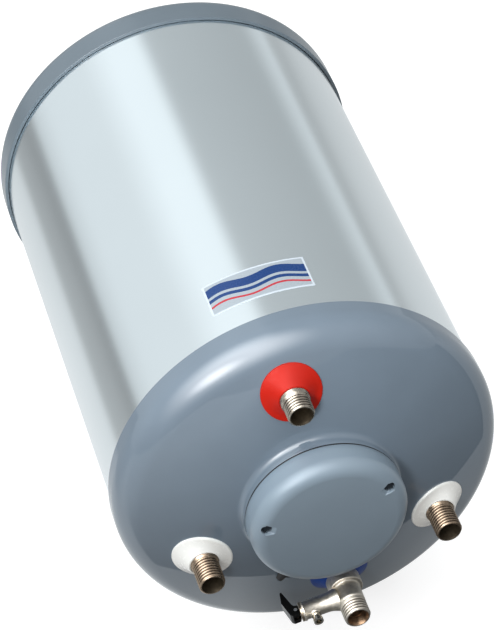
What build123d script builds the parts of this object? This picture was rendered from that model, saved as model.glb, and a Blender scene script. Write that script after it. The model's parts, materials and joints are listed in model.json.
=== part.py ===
from build123d import *
from math import atan2, cos, degrees, hypot, pi, radians, sin, sqrt, tan
import os

# Horizontal water heater for boats and campers, about 20 litres.
# Millimetres. +Z is up and the connection face looks along -Y.
# The origin is the centre of the four bracket holes, on the surface that the heater stands on.

# Jacket
JACKET_R = 150.0
JACKET_SHEET = 1.0
JACKET_SHOWN = 373.0
STAND = 15.0
AXIS_Z = JACKET_R + STAND

# End caps; depths are measured outwards from the seam with the jacket
CAP_STEP = 3.0
CAP_R = JACKET_R + CAP_STEP
CAP_WALL = 3.0
CAP_LAP = 12.0
LAP_GAP = 0.4
SEAT_GAP = 0.3
FRONT_STRAIGHT = 10.0
FRONT_KNUCKLE = 28.0
FRONT_DOME = 331.0
REAR_STRAIGHT = 17.8
REAR_KNUCKLE = 16.0
REAR_DOME = 500.0

# Electrical cover and the moulded boss that carries it
COVER_X = 0.0
COVER_Z = 10.0
COVER_R = 61.5
COVER_HEIGHT = 25.0
COVER_EDGE = 12.0
COVER_CROWN = 1.2
COVER_WALL = 2.5
BOSS_RISE = 0.5
BOSS_BLEND = 5.0
ACCESS_R = 44.0
GASKET_INSET = 0.2
GASKET_WIDTH = 2.7
GASKET_SHEET = 1.0
SCREW_INSET = 13.0
SCREW_X = COVER_R - SCREW_INSET
SCREW_Z = 20.0

# Ports on the front, as X and as height over the jacket's axis
HOT_INSET = 36.5
COLD_DROP = 32.5
ENGINE_OUT_INSET = 51.7
ENGINE_IN_INSET = 62.4
HOT_X = 0.0
HOT_Z = JACKET_R - HOT_INSET
COLD_X = 0.0
COLD_Z = COVER_Z - COVER_R - COLD_DROP
ENGINE_OUT_X = ENGINE_OUT_INSET - JACKET_R
ENGINE_OUT_Z = -20.0
ENGINE_IN_X = JACKET_R - ENGINE_IN_INSET
ENGINE_IN_Z = -53.2
THREAD_R = 10.4775
THREAD_CHAMFER = 1.2
PIPE_BORE_R = 7.75
SPIGOT_HOLE_R = 8.75
PORT_HOLE_R = 13.0
HOT_REACH = 27.0
ENGINE_REACH = 31.0
SHOULDER_R = 11.3
HOT_SHOULDER = 4.5
ENGINE_SHOULDER = 0.6

# Cone collars round the ports
COLLAR_BASE_R = 23.4
COLLAR_TOP_R = 12.3
COLLAR_HEIGHT = 8.0
COLLAR_SINK = 1.5
COLLAR_GAP = 0.15

# Screws and their wells in the cover
SCREW_R = 1.9
SCREW_HEAD_R = 3.6
SCREW_HEAD_HEIGHT = 2.4
SCREW_LENGTH = 22.0
SCREW_CLEARANCE = 0.3
WELL_R = 3.9
WELL_DEPTH = 12.5
SCOOP_R = 5.5
SCOOP_LIFT = 1.5
SCOOP_SHIFT = 3.0
PILLAR_R = 7.0

# Cable gland in the cover's wall
GLAND_ANGLE = 227.0
GLAND_RISE = 10.5
GLAND_HOLE_R = 4.5
GLAND_FLANGE_R = 6.0
GLAND_FLANGE_SHEET = 1.6
GLAND_SEAT = 0.4
GLAND_NOSE_R = 2.6
GLAND_NOSE = 9.5
GLAND_BORE_R = 1.5

# Inner tank
FOAM_WALL = 22.0
TANK_R = JACKET_R - FOAM_WALL
TANK_SHEET = 1.5
TANK_STRAIGHT = -24.0
TANK_KNUCKLE = 30.0
TANK_DOME = 300.0
SOCKET_R = 14.0
SOCKET_DEPTH = 30.0
SOCKET_START = 12.0
THREAD_FIT = 0.05
NECK_R = 43.0
NECK_BORE_R = 28.0
NECK_DEPTH = 34.0
FOAM_GAP = 0.6

# Flange with the element, anode and thermostat pocket
FLANGE_R = 42.0
FLANGE_SHEET = 5.0
FLANGE_SEAL = 3.0
BOLT_CIRCLE_R = 35.0
BOLT_COUNT = 6
BOLT_R = 3.0
BOLT_HEAD_R = 5.5
BOLT_HEAD_HEIGHT = 4.5
BOLT_BITE = 8.0
ELEMENT_X = 11.0
ELEMENT_Z = -16.0
ELEMENT_R = 4.0
ELEMENT_LENGTH = 280.0
TERMINAL_REACH = 9.0
TERMINAL_R = 1.5
POCKET_X = -12.0
POCKET_Z = 8.0
POCKET_R = 4.5
POCKET_WALL = 0.9
POCKET_LENGTH = 200.0
POCKET_HEAD_R = 7.0
POCKET_HEAD = 7.0
ANODE_X = 13.5
ANODE_Z = 10.0
ANODE_R = 9.0
ANODE_LENGTH = 180.0
ANODE_STUD_R = 3.0
ANODE_NUT_R = 5.5
ANODE_NUT = 5.0
ANODE_STUD_END = 2.0

# Thermostat, cut-out and terminals
THERMOSTAT_X = 30.0
THERMOSTAT_Z = 26.0
THERMOSTAT_HEIGHT = 20.0
THERMOSTAT_CORNER = 2.0
BULB_R = 3.2
BULB_LENGTH = 190.0
KNOB_R = 10.0
KNOB_HEIGHT = 9.0
KNOB_TAPER = 6.0
KNOB_SLOT = 1.6
SPINDLE_R = 3.0
SPINDLE_BITE = 8.0
RUNNING_FIT = 0.05
CUTOUT_X = 14.0
CUTOUT_Z = -5.0
CUTOUT_R = 7.5
CUTOUT_HEIGHT = 11.0
BUTTON_R = 2.2
BUTTON_REACH = 3.0
BUTTON_BITE = 5.0
BLOCK_X = 30.0
BLOCK_Z = 9.0
BLOCK_HEIGHT = 13.0
BLOCK_INSET = 11.0
BLOCK_CENTRE = BLOCK_INSET - COVER_R
BLOCK_WAY_R = 2.2
BLOCK_WAYS = 3

# Heat exchanger coil
COIL_TUBE_R = 8.7
COIL_TUBE_WALL = 1.5
COIL_INSET = 50.0
COIL_R = TANK_R - COIL_INSET
COIL_TURNS = 4
COIL_CORNERS = 25
COIL_LEAD = 45.0
COIL_PITCH = 26.0
COIL_START_Y = -128.0
COIL_BEND_MAX = 60.0
SPIGOT_BITE = 8.0
RUN_SHARE = 0.45

# Dip tubes
DIP_R = 6.0
DIP_WALL = 1.0
DIP_SPIGOT_R = 8.7
HOT_DIP_LENGTH = 120.0
COLD_DIP_LENGTH = 32.0

# Safety valve on the cold inlet, axis along Y; depths count from its back
VALVE_RING_R = 13.5
VALVE_RING = 11.5
RING_EDGE = 0.8
VALVE_SOCKET = 9.0
VALVE_BODY_R = 10.6
VALVE_BODY = 17.5
VALVE_THREAD = 13.0
VALVE_WAIST_R = 9.4
VALVE_WAIST = 1.6
VALVE_BORE_R = 7.5
SEAT_DEPTH = 25.5
SEAT_HOLE_R = 4.5
SEAT_THICK = 2.6
INLET_BORE_R = 6.3
INLET_MOUTH_R = 6.9
INLET_MOUTH = 7.55
WASHER_SHEET = 1.5
WASHER_HOLE_R = 6.6
CAGE_SHEET = 1.0
CAGE_HOLE_R = 3.4
CHECK_R = 6.4
CHECK_SHEET = 2.4
CHECK_STEM_R = 1.5
CHECK_STEM = 8.7
CHECK_WIRE_R = 0.45
CHECK_COIL_R = 4.6
CHECK_TURNS = 3
GUIDE_SHEET = 2.0
GUIDE_HUB_R = 3.0
GUIDE_ARM = 1.6
GUIDE_ARMS = 3
GUIDE_INSET = 1.5

# Relief arm of the valve, axis along -X; reaches count from the valve's axis
ARM_DEPTH = 6.2
ARM_R = 7.25
ARM_END = 38.3
ARM_ROOT_R = 8.6
ARM_ROOT = 14.0
ARM_RING_R = 8.0
ARM_RING = 1.5
ORIFICE_R = 3.2
ORIFICE_END = 13.0
ARM_BORE_R = 5.3
DISC_R = 4.5
DISC_SHEET = 2.0
PLUNGER_R = 4.7
PLUNGER_SHEET = 2.2
STEM_R = 1.5
EYE_R = 2.5
EYE_WIDTH = 3.0
BONNET_R = 7.7
BONNET_RIM = 1.7
BONNET_PLUG = 5.0
RELIEF_WIRE_R = 0.6
RELIEF_COIL_R = 3.6
RELIEF_TURNS = 5
SPRING_CORNERS = 6

# Lever on the relief stem; its foot rolls on the bonnet and lifts the stem.
# The outline is (along +X, along +Y) from the pin, at rest.
PIN_REACH = 43.0
PIN_R = 1.4
PIN_PROUD = 0.15
LEVER_WIDTH = 10.0
LEVER_SLOT = 3.7
LEVER_SLOT_REACH = 3.3
LEVER_OUTLINE = [(2.7, 3.2), (2.7, -2.9), (1.5, -5.2), (-3.6, -5.4), (-5.4, -3.4),
                 (-8.6, 11.0), (-6.9, 22.2), (-5.4, 22.6), (-1.4, 6.2), (-0.4, 4.2)]

# Drain nozzle on the arm, pointing away from the heater
NOZZLE_X = 29.1
NOZZLE_BORE_R = 2.3
NOZZLE_SPIGOT_R = 2.9
NOZZLE_PAD_R = 4.3
NOZZLE_PAD = 0.2
NOZZLE_COLLAR_R = 3.9
NOZZLE_COLLAR = 1.2
NOZZLE_NECK_R = 3.1
NOZZLE_BEAD_R = 3.9
NOZZLE_BEAD = 2.6
NOZZLE_REACH = 14.8

# Saddle brackets
BRACKET_Y = 110.0
BRACKET_WIDTH = 40.0
BRACKET_SHEET = 3.0
SADDLE_GAP = 0.4
LEG_X = 80.0
FOOT_END = 113.0
FOOT_CORNER = 8.0
HOLE_X = 97.0
HOLE_R = 4.5
BRACKET_BOLT_ANGLE = 20.0
BRACKET_BOLT_R = 3.0
BRACKET_BOLT_HEAD_R = 5.0
BRACKET_BOLT_HEAD = 3.0
BRACKET_BOLT_BITE = 6.0

os.makedirs("parts", exist_ok=True)


def front_y(depth):
    """Y of a depth measured outwards from the front seam."""
    return -JACKET_SHOWN / 2 - depth


def front_plane(depth):
    """Plane across the axis; its own x is X, its own y is height, and it faces the front."""
    return Plane(origin=(0, front_y(depth), AXIS_Z), x_dir=(1, 0, 0), z_dir=(0, -1, 0))


def lathe_plane(x, height):
    """Plane for profiles turned round a line along Y; its own x is the radius, its own y is Y."""
    return Plane(origin=(x, 0, AXIS_Z + height), x_dir=(1, 0, 0), z_dir=(0, 0, 1))


def lathe_axis(x, height):
    """The line along Y that lathe_plane's profiles are turned round."""
    return Axis((x, 0, AXIS_Z + height), (0, 1, 0))


def under_plane(y, angle, radius):
    """Plane on the jacket's underside, turned by an angle from straight down, facing outwards."""
    out = (sin(radians(angle)), 0, -cos(radians(angle)))
    place = (radius * out[0], y, AXIS_Z + radius * out[2])
    return Plane(origin=place, x_dir=(0, 1, 0), z_dir=out)


def dish(radius, straight, knuckle, dome):
    """Centre depth and apex depth of a dished end whose knuckle and dome meet tangentially."""
    centre = straight - sqrt((dome - knuckle) ** 2 - (radius - knuckle) ** 2)
    return centre, centre + dome


def dish_outline(radius, start, straight, knuckle, dome, seam, outward):
    """Half profile of a dished end, closed along the axis, for the current line builder."""
    centre, apex = dish(radius, straight, knuckle, dome)
    out_r = (radius - knuckle) / (dome - knuckle)
    out_d = (straight - centre) / (dome - knuckle)
    joint = (dome * out_r, centre + dome * out_d)
    on_knuckle = (radius - knuckle + knuckle * sqrt((1 + out_r) / 2),
                  straight + knuckle * sqrt((1 - out_r) / 2))
    on_dome = (dome * sqrt((1 - out_d) / 2), centre + dome * sqrt((1 + out_d) / 2))

    def place(point):
        return point[0], seam + outward * point[1]

    Polyline(place((0, apex)), place((0, start)), place((radius, start)), place((radius, straight)))
    ThreePointArc(place((radius, straight)), place(on_knuckle), place(joint))
    ThreePointArc(place(joint), place(on_dome), place((0, apex)))


def dome_depth(x, height):
    """Depth of the front cap's outer face over a point of the axis plane."""
    centre, apex = dish(CAP_R, FRONT_STRAIGHT, FRONT_KNUCKLE, FRONT_DOME)
    return centre + sqrt(FRONT_DOME ** 2 - x ** 2 - height ** 2)


def spin_dish(radius, start, straight, knuckle, dome, seam, outward, mode=Mode.ADD):
    """Revolve a dished end round the jacket's axis into the current part."""
    with BuildSketch(lathe_plane(0, 0)) as profile:
        with BuildLine():
            dish_outline(radius, start, straight, knuckle, dome, seam, outward)
        make_face()
    revolve(profile.sketch, axis=lathe_axis(0, 0), mode=mode)


def spin_front(grow, start, mode=Mode.ADD):
    """Revolve the front cap's outer shape, grown by an amount, into the current part."""
    spin_dish(CAP_R + grow, start, FRONT_STRAIGHT, FRONT_KNUCKLE + grow, FRONT_DOME + grow,
              -JACKET_SHOWN / 2, -1, mode)


def spin_rear(grow, start, mode=Mode.ADD):
    """Revolve the rear cap's outer shape, grown by an amount, into the current part."""
    spin_dish(CAP_R + grow, start, REAR_STRAIGHT, REAR_KNUCKLE + grow, REAR_DOME + grow,
              JACKET_SHOWN / 2, 1, mode)


def spin_tank(grow, mode=Mode.ADD):
    """Revolve the inner tank's outer shape, grown by an amount, into the current part."""
    for side in (-1, 1):
        spin_dish(TANK_R + grow, -JACKET_SHOWN / 2, TANK_STRAIGHT, TANK_KNUCKLE + grow, TANK_DOME + grow,
                  side * JACKET_SHOWN / 2, side, mode)


def turned(points, x, height):
    """Revolve a closed profile of (radius, depth) points round a line along Y at (x, height)."""
    with BuildSketch(lathe_plane(x, height)) as profile:
        with BuildLine():
            Polyline(*[(radius, front_y(depth)) for radius, depth in points], close=True)
        make_face()
    revolve(profile.sketch, axis=lathe_axis(x, height))


def rods(places, radius, start, end, mode=Mode.ADD):
    """Round rods along Y between two depths, one at each place on the axis plane."""
    with BuildSketch(front_plane(start)) as section:
        with Locations(*places):
            Circle(radius)
    extrude(section.sketch, amount=end - start, mode=mode)


def round_wire(points, radius, bore, bend_max):
    """Sweep a round section along straight runs with tangent arcs as large as the runs allow."""
    bends = []
    for before, here, after in zip(points, points[1:], points[2:]):
        coming = Vector(*here) - Vector(*before)
        going = Vector(*after) - Vector(*here)
        turn = radians(coming.get_angle(going))
        bends.append(min(RUN_SHARE * min(coming.length, going.length) / tan(turn / 2), bend_max))
    with BuildLine() as route:
        FilletPolyline(*points, radius=bends)
    start = Vector(*points[1]) - Vector(*points[0])
    with BuildSketch(Plane(origin=points[0], z_dir=start)) as section:
        Circle(radius)
        if bore > 0:
            Circle(bore, mode=Mode.SUBTRACT)
    sweep(section.sketch, path=route.line)


def save(builder, name):
    """Label a finished piece and write it."""
    builder.part.label = name
    export_step(builder.part, "parts/" + name + ".step")


COVER = (COVER_X, COVER_Z)
COLD = (COLD_X, COLD_Z)
PORTS = [(HOT_X, HOT_Z), COLD, (ENGINE_OUT_X, ENGINE_OUT_Z), (ENGINE_IN_X, ENGINE_IN_Z)]
SCREWS = [(COVER_X - SCREW_X, COVER_Z + SCREW_Z), (COVER_X + SCREW_X, COVER_Z + SCREW_Z)]
BOLTS = [(COVER_X + BOLT_CIRCLE_R * cos(2 * pi * turn / BOLT_COUNT),
          COVER_Z + BOLT_CIRCLE_R * sin(2 * pi * turn / BOLT_COUNT)) for turn in range(BOLT_COUNT)]
BRACKET_BOLTS = [(y, side * BRACKET_BOLT_ANGLE) for y in (-BRACKET_Y, BRACKET_Y) for side in (-1, 1)]
COVER_H = AXIS_Z + COVER_Z
BOSS_DEPTH = dome_depth(0, 0) + BOSS_RISE
COVER_BACK = BOSS_DEPTH + GASKET_SHEET
GLAND_DEPTH = COVER_BACK + GLAND_RISE
SPIGOT_END = SOCKET_START + SPIGOT_BITE
COVER_FACE = COVER_BACK + COVER_HEIGHT
NECK_SEAL = NECK_DEPTH + FLANGE_SEAL
FLANGE_FACE = NECK_SEAL + FLANGE_SHEET
THERMOSTAT_BACK = FLANGE_FACE + POCKET_HEAD
THERMOSTAT_FACE = THERMOSTAT_BACK + THERMOSTAT_HEIGHT
COLD_H = AXIS_Z + COLD_Z
VALVE_BACK = dome_depth(*COLD) + COLLAR_HEIGHT + SEAT_GAP
VALVE_WALL = VALVE_BACK + VALVE_RING
VALVE_NECK = VALVE_WALL + VALVE_BODY
VALVE_END = VALVE_NECK + VALVE_THREAD
CAGE_BACK = VALVE_BACK + VALVE_SOCKET
WASHER_BACK = CAGE_BACK - WASHER_SHEET
ARM_LINE = VALVE_WALL + ARM_DEPTH
ARM_Y = front_y(ARM_LINE)

# Jacket: thin stainless tube, its ends lapped by the caps
with BuildPart() as jacket:
    with BuildSketch(front_plane(CAP_LAP)):
        Circle(JACKET_R)
        Circle(JACKET_R - JACKET_SHEET, mode=Mode.SUBTRACT)
    extrude(amount=-(JACKET_SHOWN + 2 * CAP_LAP))
    for bolt_y, bolt_angle in BRACKET_BOLTS:
        with BuildSketch(under_plane(bolt_y, bolt_angle, JACKET_R + JACKET_SHEET)):
            Circle(BRACKET_BOLT_R + RUNNING_FIT)
        extrude(amount=-3 * JACKET_SHEET, mode=Mode.SUBTRACT)
save(jacket, "jacket")

# Front cap: moulded shell with a shallow dome, a boss for the cover and four port holes
with BuildPart() as front_cap:
    spin_front(0, 0)
    rods([COVER], COVER_R, FRONT_STRAIGHT, BOSS_DEPTH)
    fillet(front_cap.edges().filter_by(GeomType.BSPLINE), BOSS_BLEND)
    spin_front(-CAP_WALL, -SEAT_GAP, Mode.SUBTRACT)
    rods([(0, 0)], JACKET_R + LAP_GAP, 0, CAP_LAP + SEAT_GAP, Mode.SUBTRACT)
    rods(PORTS, PORT_HOLE_R, FRONT_STRAIGHT, BOSS_DEPTH, Mode.SUBTRACT)
    rods([COVER], ACCESS_R, FRONT_STRAIGHT, BOSS_DEPTH, Mode.SUBTRACT)
    rods(SCREWS, SCREW_R + RUNNING_FIT, FRONT_STRAIGHT, BOSS_DEPTH, Mode.SUBTRACT)
save(front_cap, "front_cap")

# Rear cap: the same kind of moulding without ports
with BuildPart() as rear_cap:
    spin_rear(0, 0)
    spin_rear(-CAP_WALL, -SEAT_GAP, Mode.SUBTRACT)
    rods([(0, 0)], JACKET_R + LAP_GAP, -JACKET_SHOWN, -JACKET_SHOWN - CAP_LAP - SEAT_GAP, Mode.SUBTRACT)
save(rear_cap, "rear_cap")

# Inner tank: dished stainless vessel with four threaded sockets and a flange neck
with BuildPart() as inner_tank:
    spin_tank(0)
    rods(PORTS, SOCKET_R, TANK_STRAIGHT, SOCKET_DEPTH)
    rods([COVER], NECK_R, TANK_STRAIGHT, NECK_DEPTH)
    spin_tank(-TANK_SHEET, Mode.SUBTRACT)
    rods(PORTS, THREAD_R + THREAD_FIT, TANK_STRAIGHT, SOCKET_DEPTH, Mode.SUBTRACT)
    rods([COVER], NECK_BORE_R, TANK_STRAIGHT, NECK_DEPTH, Mode.SUBTRACT)
    rods(BOLTS, BOLT_R + THREAD_FIT, NECK_DEPTH - BOLT_BITE - SEAT_GAP, NECK_DEPTH, Mode.SUBTRACT)
save(inner_tank, "inner_tank")

# Foam between the tank and the jacket, open round the sockets and under the cover
FOAM_SHRINK = CAP_R - JACKET_R + JACKET_SHEET + FOAM_GAP
with BuildPart() as insulation_foam:
    spin_front(-FOAM_SHRINK, -JACKET_SHOWN / 2)
    spin_rear(-FOAM_SHRINK, -JACKET_SHOWN / 2)
    spin_tank(FOAM_GAP, Mode.SUBTRACT)
    rods(PORTS, SOCKET_R + FOAM_GAP, TANK_STRAIGHT, BOSS_DEPTH, Mode.SUBTRACT)
    rods([COVER], ACCESS_R, TANK_STRAIGHT, BOSS_DEPTH, Mode.SUBTRACT)
    rods(SCREWS, SCREW_R + FOAM_GAP, FRONT_STRAIGHT, BOSS_DEPTH, Mode.SUBTRACT)
    for bolt_y, bolt_angle in BRACKET_BOLTS:
        with BuildSketch(under_plane(bolt_y, bolt_angle, JACKET_R)):
            Circle(BRACKET_BOLT_R + FOAM_GAP)
        extrude(amount=-BRACKET_BOLT_BITE - FOAM_GAP, mode=Mode.SUBTRACT)
save(insulation_foam, "insulation_foam")


def pipe_profile(shoulder_end, end):
    """Pipe stub screwed into a socket, with a plain shoulder, as (radius, depth) points."""
    shoulder_start = SOCKET_DEPTH + SEAT_GAP
    return [(SPIGOT_HOLE_R, SOCKET_START), (THREAD_R - THREAD_CHAMFER, SOCKET_START),
            (THREAD_R, SOCKET_START + THREAD_CHAMFER), (THREAD_R, shoulder_start),
            (SHOULDER_R, shoulder_start), (SHOULDER_R, shoulder_end), (THREAD_R, shoulder_end),
            (THREAD_R, end - THREAD_CHAMFER), (THREAD_R - THREAD_CHAMFER, end), (PIPE_BORE_R, end),
            (PIPE_BORE_R, SPIGOT_END), (SPIGOT_HOLE_R, SPIGOT_END)]


# Pipe stubs of the hot outlet and of the engine circuit
STUBS = [("hot_outlet", HOT_X, HOT_Z, HOT_SHOULDER, HOT_REACH),
         ("engine_outlet", ENGINE_OUT_X, ENGINE_OUT_Z, ENGINE_SHOULDER, ENGINE_REACH),
         ("engine_inlet", ENGINE_IN_X, ENGINE_IN_Z, ENGINE_SHOULDER, ENGINE_REACH)]
for stub_name, stub_x, stub_z, shoulder, reach in STUBS:
    skin = dome_depth(stub_x, stub_z)
    with BuildPart() as stub:
        turned(pipe_profile(skin + COLLAR_HEIGHT + shoulder, skin + reach), stub_x, stub_z)
    save(stub, stub_name)

# The cold stub ends inside the safety valve
with BuildPart() as cold_inlet:
    turned(pipe_profile(VALVE_BACK - SEAT_GAP, WASHER_BACK - COLLAR_GAP), *COLD)
save(cold_inlet, "cold_inlet")

# Collars: cones that lie on the dome round each stub
DOME_CENTRE, DOME_APEX = dish(CAP_R, FRONT_STRAIGHT, FRONT_KNUCKLE, FRONT_DOME)
COLLARS = [("hot_collar", HOT_X, HOT_Z), ("cold_collar", COLD_X, COLD_Z),
           ("engine_out_collar", ENGINE_OUT_X, ENGINE_OUT_Z), ("engine_in_collar", ENGINE_IN_X, ENGINE_IN_Z)]
for collar_name, port_x, port_z in COLLARS:
    skin = dome_depth(port_x, port_z)
    tilt = Vector(port_x, DOME_CENTRE - skin, port_z).normalized()
    foot = Vector(port_x, front_y(skin), AXIS_Z + port_z) - tilt * COLLAR_SINK
    with BuildPart() as collar:
        with BuildSketch(Plane(origin=foot, x_dir=Vector(0, 0, 1).cross(tilt), z_dir=tilt)):
            Circle(COLLAR_BASE_R)
        with BuildSketch(Plane(origin=(port_x, front_y(skin + COLLAR_HEIGHT), AXIS_Z + port_z),
                               x_dir=(1, 0, 0), z_dir=(0, -1, 0))):
            Circle(COLLAR_TOP_R)
        loft()
        spin_front(COLLAR_GAP, 0, Mode.SUBTRACT)
        rods([(port_x, port_z)], SHOULDER_R + COLLAR_GAP, 0, skin + 2 * COLLAR_HEIGHT, Mode.SUBTRACT)
    save(collar, collar_name)

# Dip tubes: spigots pressed into the hot and cold stubs
DIPS = [("hot_dip_tube", HOT_X, HOT_Z, HOT_DIP_LENGTH), ("cold_dip_tube", COLD_X, COLD_Z, COLD_DIP_LENGTH)]
for dip_name, dip_x, dip_z, dip_length in DIPS:
    with BuildPart() as dip:
        turned([(DIP_R - DIP_WALL, SPIGOT_END), (DIP_SPIGOT_R, SPIGOT_END), (DIP_SPIGOT_R, SOCKET_START),
                (DIP_R, SOCKET_START), (DIP_R, SOCKET_START - dip_length),
                (DIP_R - DIP_WALL, SOCKET_START - dip_length)], dip_x, dip_z)
    save(dip, dip_name)

# Heat exchanger: one tube from the engine outlet stub, wound inside the tank, back to the inlet stub
OUT_ANGLE = degrees(atan2(ENGINE_OUT_Z, ENGINE_OUT_X)) % 360
IN_ANGLE = degrees(atan2(ENGINE_IN_Z, ENGINE_IN_X)) % 360
WIND_FROM = OUT_ANGLE + COIL_LEAD
WIND_TO = IN_ANGLE - COIL_LEAD + 360 * COIL_TURNS
coil_points = [(ENGINE_OUT_X, front_y(SPIGOT_END), AXIS_Z + ENGINE_OUT_Z),
               (ENGINE_OUT_X, COIL_START_Y - COIL_PITCH * COIL_LEAD / 360, AXIS_Z + ENGINE_OUT_Z)]
for corner in range(COIL_CORNERS + 1):
    swing = (WIND_TO - WIND_FROM) * corner / COIL_CORNERS
    angle = radians(WIND_FROM + swing)
    coil_points.append((COIL_R * cos(angle), COIL_START_Y + COIL_PITCH * swing / 360,
                        AXIS_Z + COIL_R * sin(angle)))
COIL_END_Y = COIL_START_Y + COIL_PITCH * (WIND_TO - WIND_FROM + COIL_LEAD) / 360
coil_points.append((ENGINE_IN_X, COIL_END_Y, AXIS_Z + ENGINE_IN_Z))
coil_points.append((ENGINE_IN_X, front_y(SPIGOT_END), AXIS_Z + ENGINE_IN_Z))
with BuildPart() as heat_exchanger_coil:
    round_wire(coil_points, COIL_TUBE_R, COIL_TUBE_R - COIL_TUBE_WALL, COIL_BEND_MAX)
save(heat_exchanger_coil, "heat_exchanger_coil")
print("coil: least gap between turns", round(COIL_PITCH - 2 * COIL_TUBE_R, 2))

# Seal, flange and bolts that close the tank's neck
ELEMENT_LEGS = [(COVER_X - ELEMENT_X, COVER_Z + ELEMENT_Z), (COVER_X + ELEMENT_X, COVER_Z + ELEMENT_Z)]
POCKET = (COVER_X + POCKET_X, COVER_Z + POCKET_Z)
ANODE = (COVER_X + ANODE_X, COVER_Z + ANODE_Z)
CUTOUT = (COVER_X + CUTOUT_X, COVER_Z + CUTOUT_Z)
with BuildPart() as flange_seal:
    rods([COVER], FLANGE_R, NECK_DEPTH, NECK_SEAL)
    rods([COVER], NECK_BORE_R, NECK_DEPTH, NECK_SEAL, Mode.SUBTRACT)
    rods(BOLTS, BOLT_R + SCREW_CLEARANCE, NECK_DEPTH, NECK_SEAL, Mode.SUBTRACT)
save(flange_seal, "flange_seal")

with BuildPart() as element_flange:
    rods([COVER], FLANGE_R, NECK_SEAL, FLANGE_FACE)
    rods(BOLTS, BOLT_R + SCREW_CLEARANCE, NECK_SEAL, FLANGE_FACE, Mode.SUBTRACT)
    rods(ELEMENT_LEGS, ELEMENT_R + RUNNING_FIT, NECK_SEAL, FLANGE_FACE, Mode.SUBTRACT)
    rods([POCKET], POCKET_R + RUNNING_FIT, NECK_SEAL, FLANGE_FACE, Mode.SUBTRACT)
    rods([ANODE], ANODE_STUD_R + RUNNING_FIT, NECK_SEAL, FLANGE_FACE, Mode.SUBTRACT)
save(element_flange, "element_flange")

with BuildPart() as flange_bolts:
    rods(BOLTS, BOLT_R, NECK_DEPTH - BOLT_BITE, FLANGE_FACE)
    with BuildSketch(front_plane(FLANGE_FACE)):
        with Locations(*BOLTS):
            RegularPolygon(BOLT_HEAD_R, 6)
    extrude(amount=BOLT_HEAD_HEIGHT)
save(flange_bolts, "flange_bolts")

# Heating element: a bent rod whose two legs pass through the flange, with thin terminal pins
with BuildPart() as heating_element:
    bend_y = front_y(FLANGE_FACE - ELEMENT_LENGTH)
    with BuildLine(lathe_plane(COVER_X, COVER_Z + ELEMENT_Z)) as hairpin:
        Line((-ELEMENT_X, front_y(FLANGE_FACE)), (-ELEMENT_X, bend_y))
        ThreePointArc((-ELEMENT_X, bend_y), (0, bend_y + ELEMENT_X), (ELEMENT_X, bend_y))
        Line((ELEMENT_X, bend_y), (ELEMENT_X, front_y(FLANGE_FACE)))
    with BuildSketch(Plane(origin=(COVER_X - ELEMENT_X, front_y(FLANGE_FACE), COVER_H + ELEMENT_Z),
                           z_dir=(0, 1, 0))):
        Circle(ELEMENT_R)
    sweep(path=hairpin.line)
    rods(ELEMENT_LEGS, TERMINAL_R, FLANGE_FACE, FLANGE_FACE + TERMINAL_REACH)
save(heating_element, "heating_element")

with BuildPart() as thermostat_pocket:
    pocket_end = FLANGE_FACE - POCKET_LENGTH
    turned([(POCKET_R - POCKET_WALL, THERMOSTAT_BACK), (POCKET_HEAD_R, THERMOSTAT_BACK),
            (POCKET_HEAD_R, FLANGE_FACE), (POCKET_R, FLANGE_FACE), (POCKET_R, pocket_end), (0, pocket_end),
            (0, pocket_end + POCKET_WALL), (POCKET_R - POCKET_WALL, pocket_end + POCKET_WALL)], *POCKET)
save(thermostat_pocket, "thermostat_pocket")

# Anode: magnesium rod on a steel stud, held by a nut
with BuildPart() as anode_rod:
    rods([ANODE], ANODE_R, NECK_SEAL - ANODE_LENGTH, NECK_SEAL - SEAT_GAP)
    rods([ANODE], ANODE_STUD_R, NECK_SEAL - SEAT_GAP, FLANGE_FACE + ANODE_NUT + ANODE_STUD_END)
save(anode_rod, "anode_rod")

with BuildPart() as anode_nut:
    with BuildSketch(front_plane(FLANGE_FACE)):
        with Locations(ANODE):
            RegularPolygon(ANODE_NUT_R, 6)
            Circle(ANODE_STUD_R + RUNNING_FIT, mode=Mode.SUBTRACT)
    extrude(amount=ANODE_NUT)
save(anode_nut, "anode_nut")

# Thermostat, its bulb in the pocket, and its knob
with BuildPart() as thermostat:
    with BuildSketch(front_plane(THERMOSTAT_BACK)):
        with Locations(POCKET):
            RectangleRounded(THERMOSTAT_X, THERMOSTAT_Z, THERMOSTAT_CORNER)
    extrude(amount=THERMOSTAT_HEIGHT)
    rods([POCKET], BULB_R, THERMOSTAT_BACK - BULB_LENGTH, THERMOSTAT_BACK)
    rods([POCKET], SPINDLE_R + RUNNING_FIT, THERMOSTAT_FACE - SPINDLE_BITE, THERMOSTAT_FACE, Mode.SUBTRACT)
save(thermostat, "thermostat")

KNOB_BACK = THERMOSTAT_FACE + SEAT_GAP
with BuildPart() as thermostat_knob:
    with BuildSketch(front_plane(KNOB_BACK)):
        with Locations(POCKET):
            Circle(KNOB_R)
    extrude(amount=KNOB_HEIGHT, taper=KNOB_TAPER)
    with BuildSketch(front_plane(KNOB_BACK + KNOB_HEIGHT - KNOB_SLOT)):
        with Locations(POCKET):
            Rectangle(2 * KNOB_R, KNOB_SLOT)
    extrude(amount=KNOB_SLOT, mode=Mode.SUBTRACT)
    rods([POCKET], SPINDLE_R, KNOB_BACK - SPINDLE_BITE, KNOB_BACK)
save(thermostat_knob, "thermostat_knob")

# Thermal cut-out with its reset button
CUTOUT_FACE = FLANGE_FACE + CUTOUT_HEIGHT
with BuildPart() as thermal_cutout:
    rods([CUTOUT], CUTOUT_R, FLANGE_FACE, CUTOUT_FACE)
    rods([CUTOUT], BUTTON_R + RUNNING_FIT, CUTOUT_FACE - BUTTON_BITE - BUTTON_REACH, CUTOUT_FACE,
         Mode.SUBTRACT)
save(thermal_cutout, "thermal_cutout")

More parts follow.
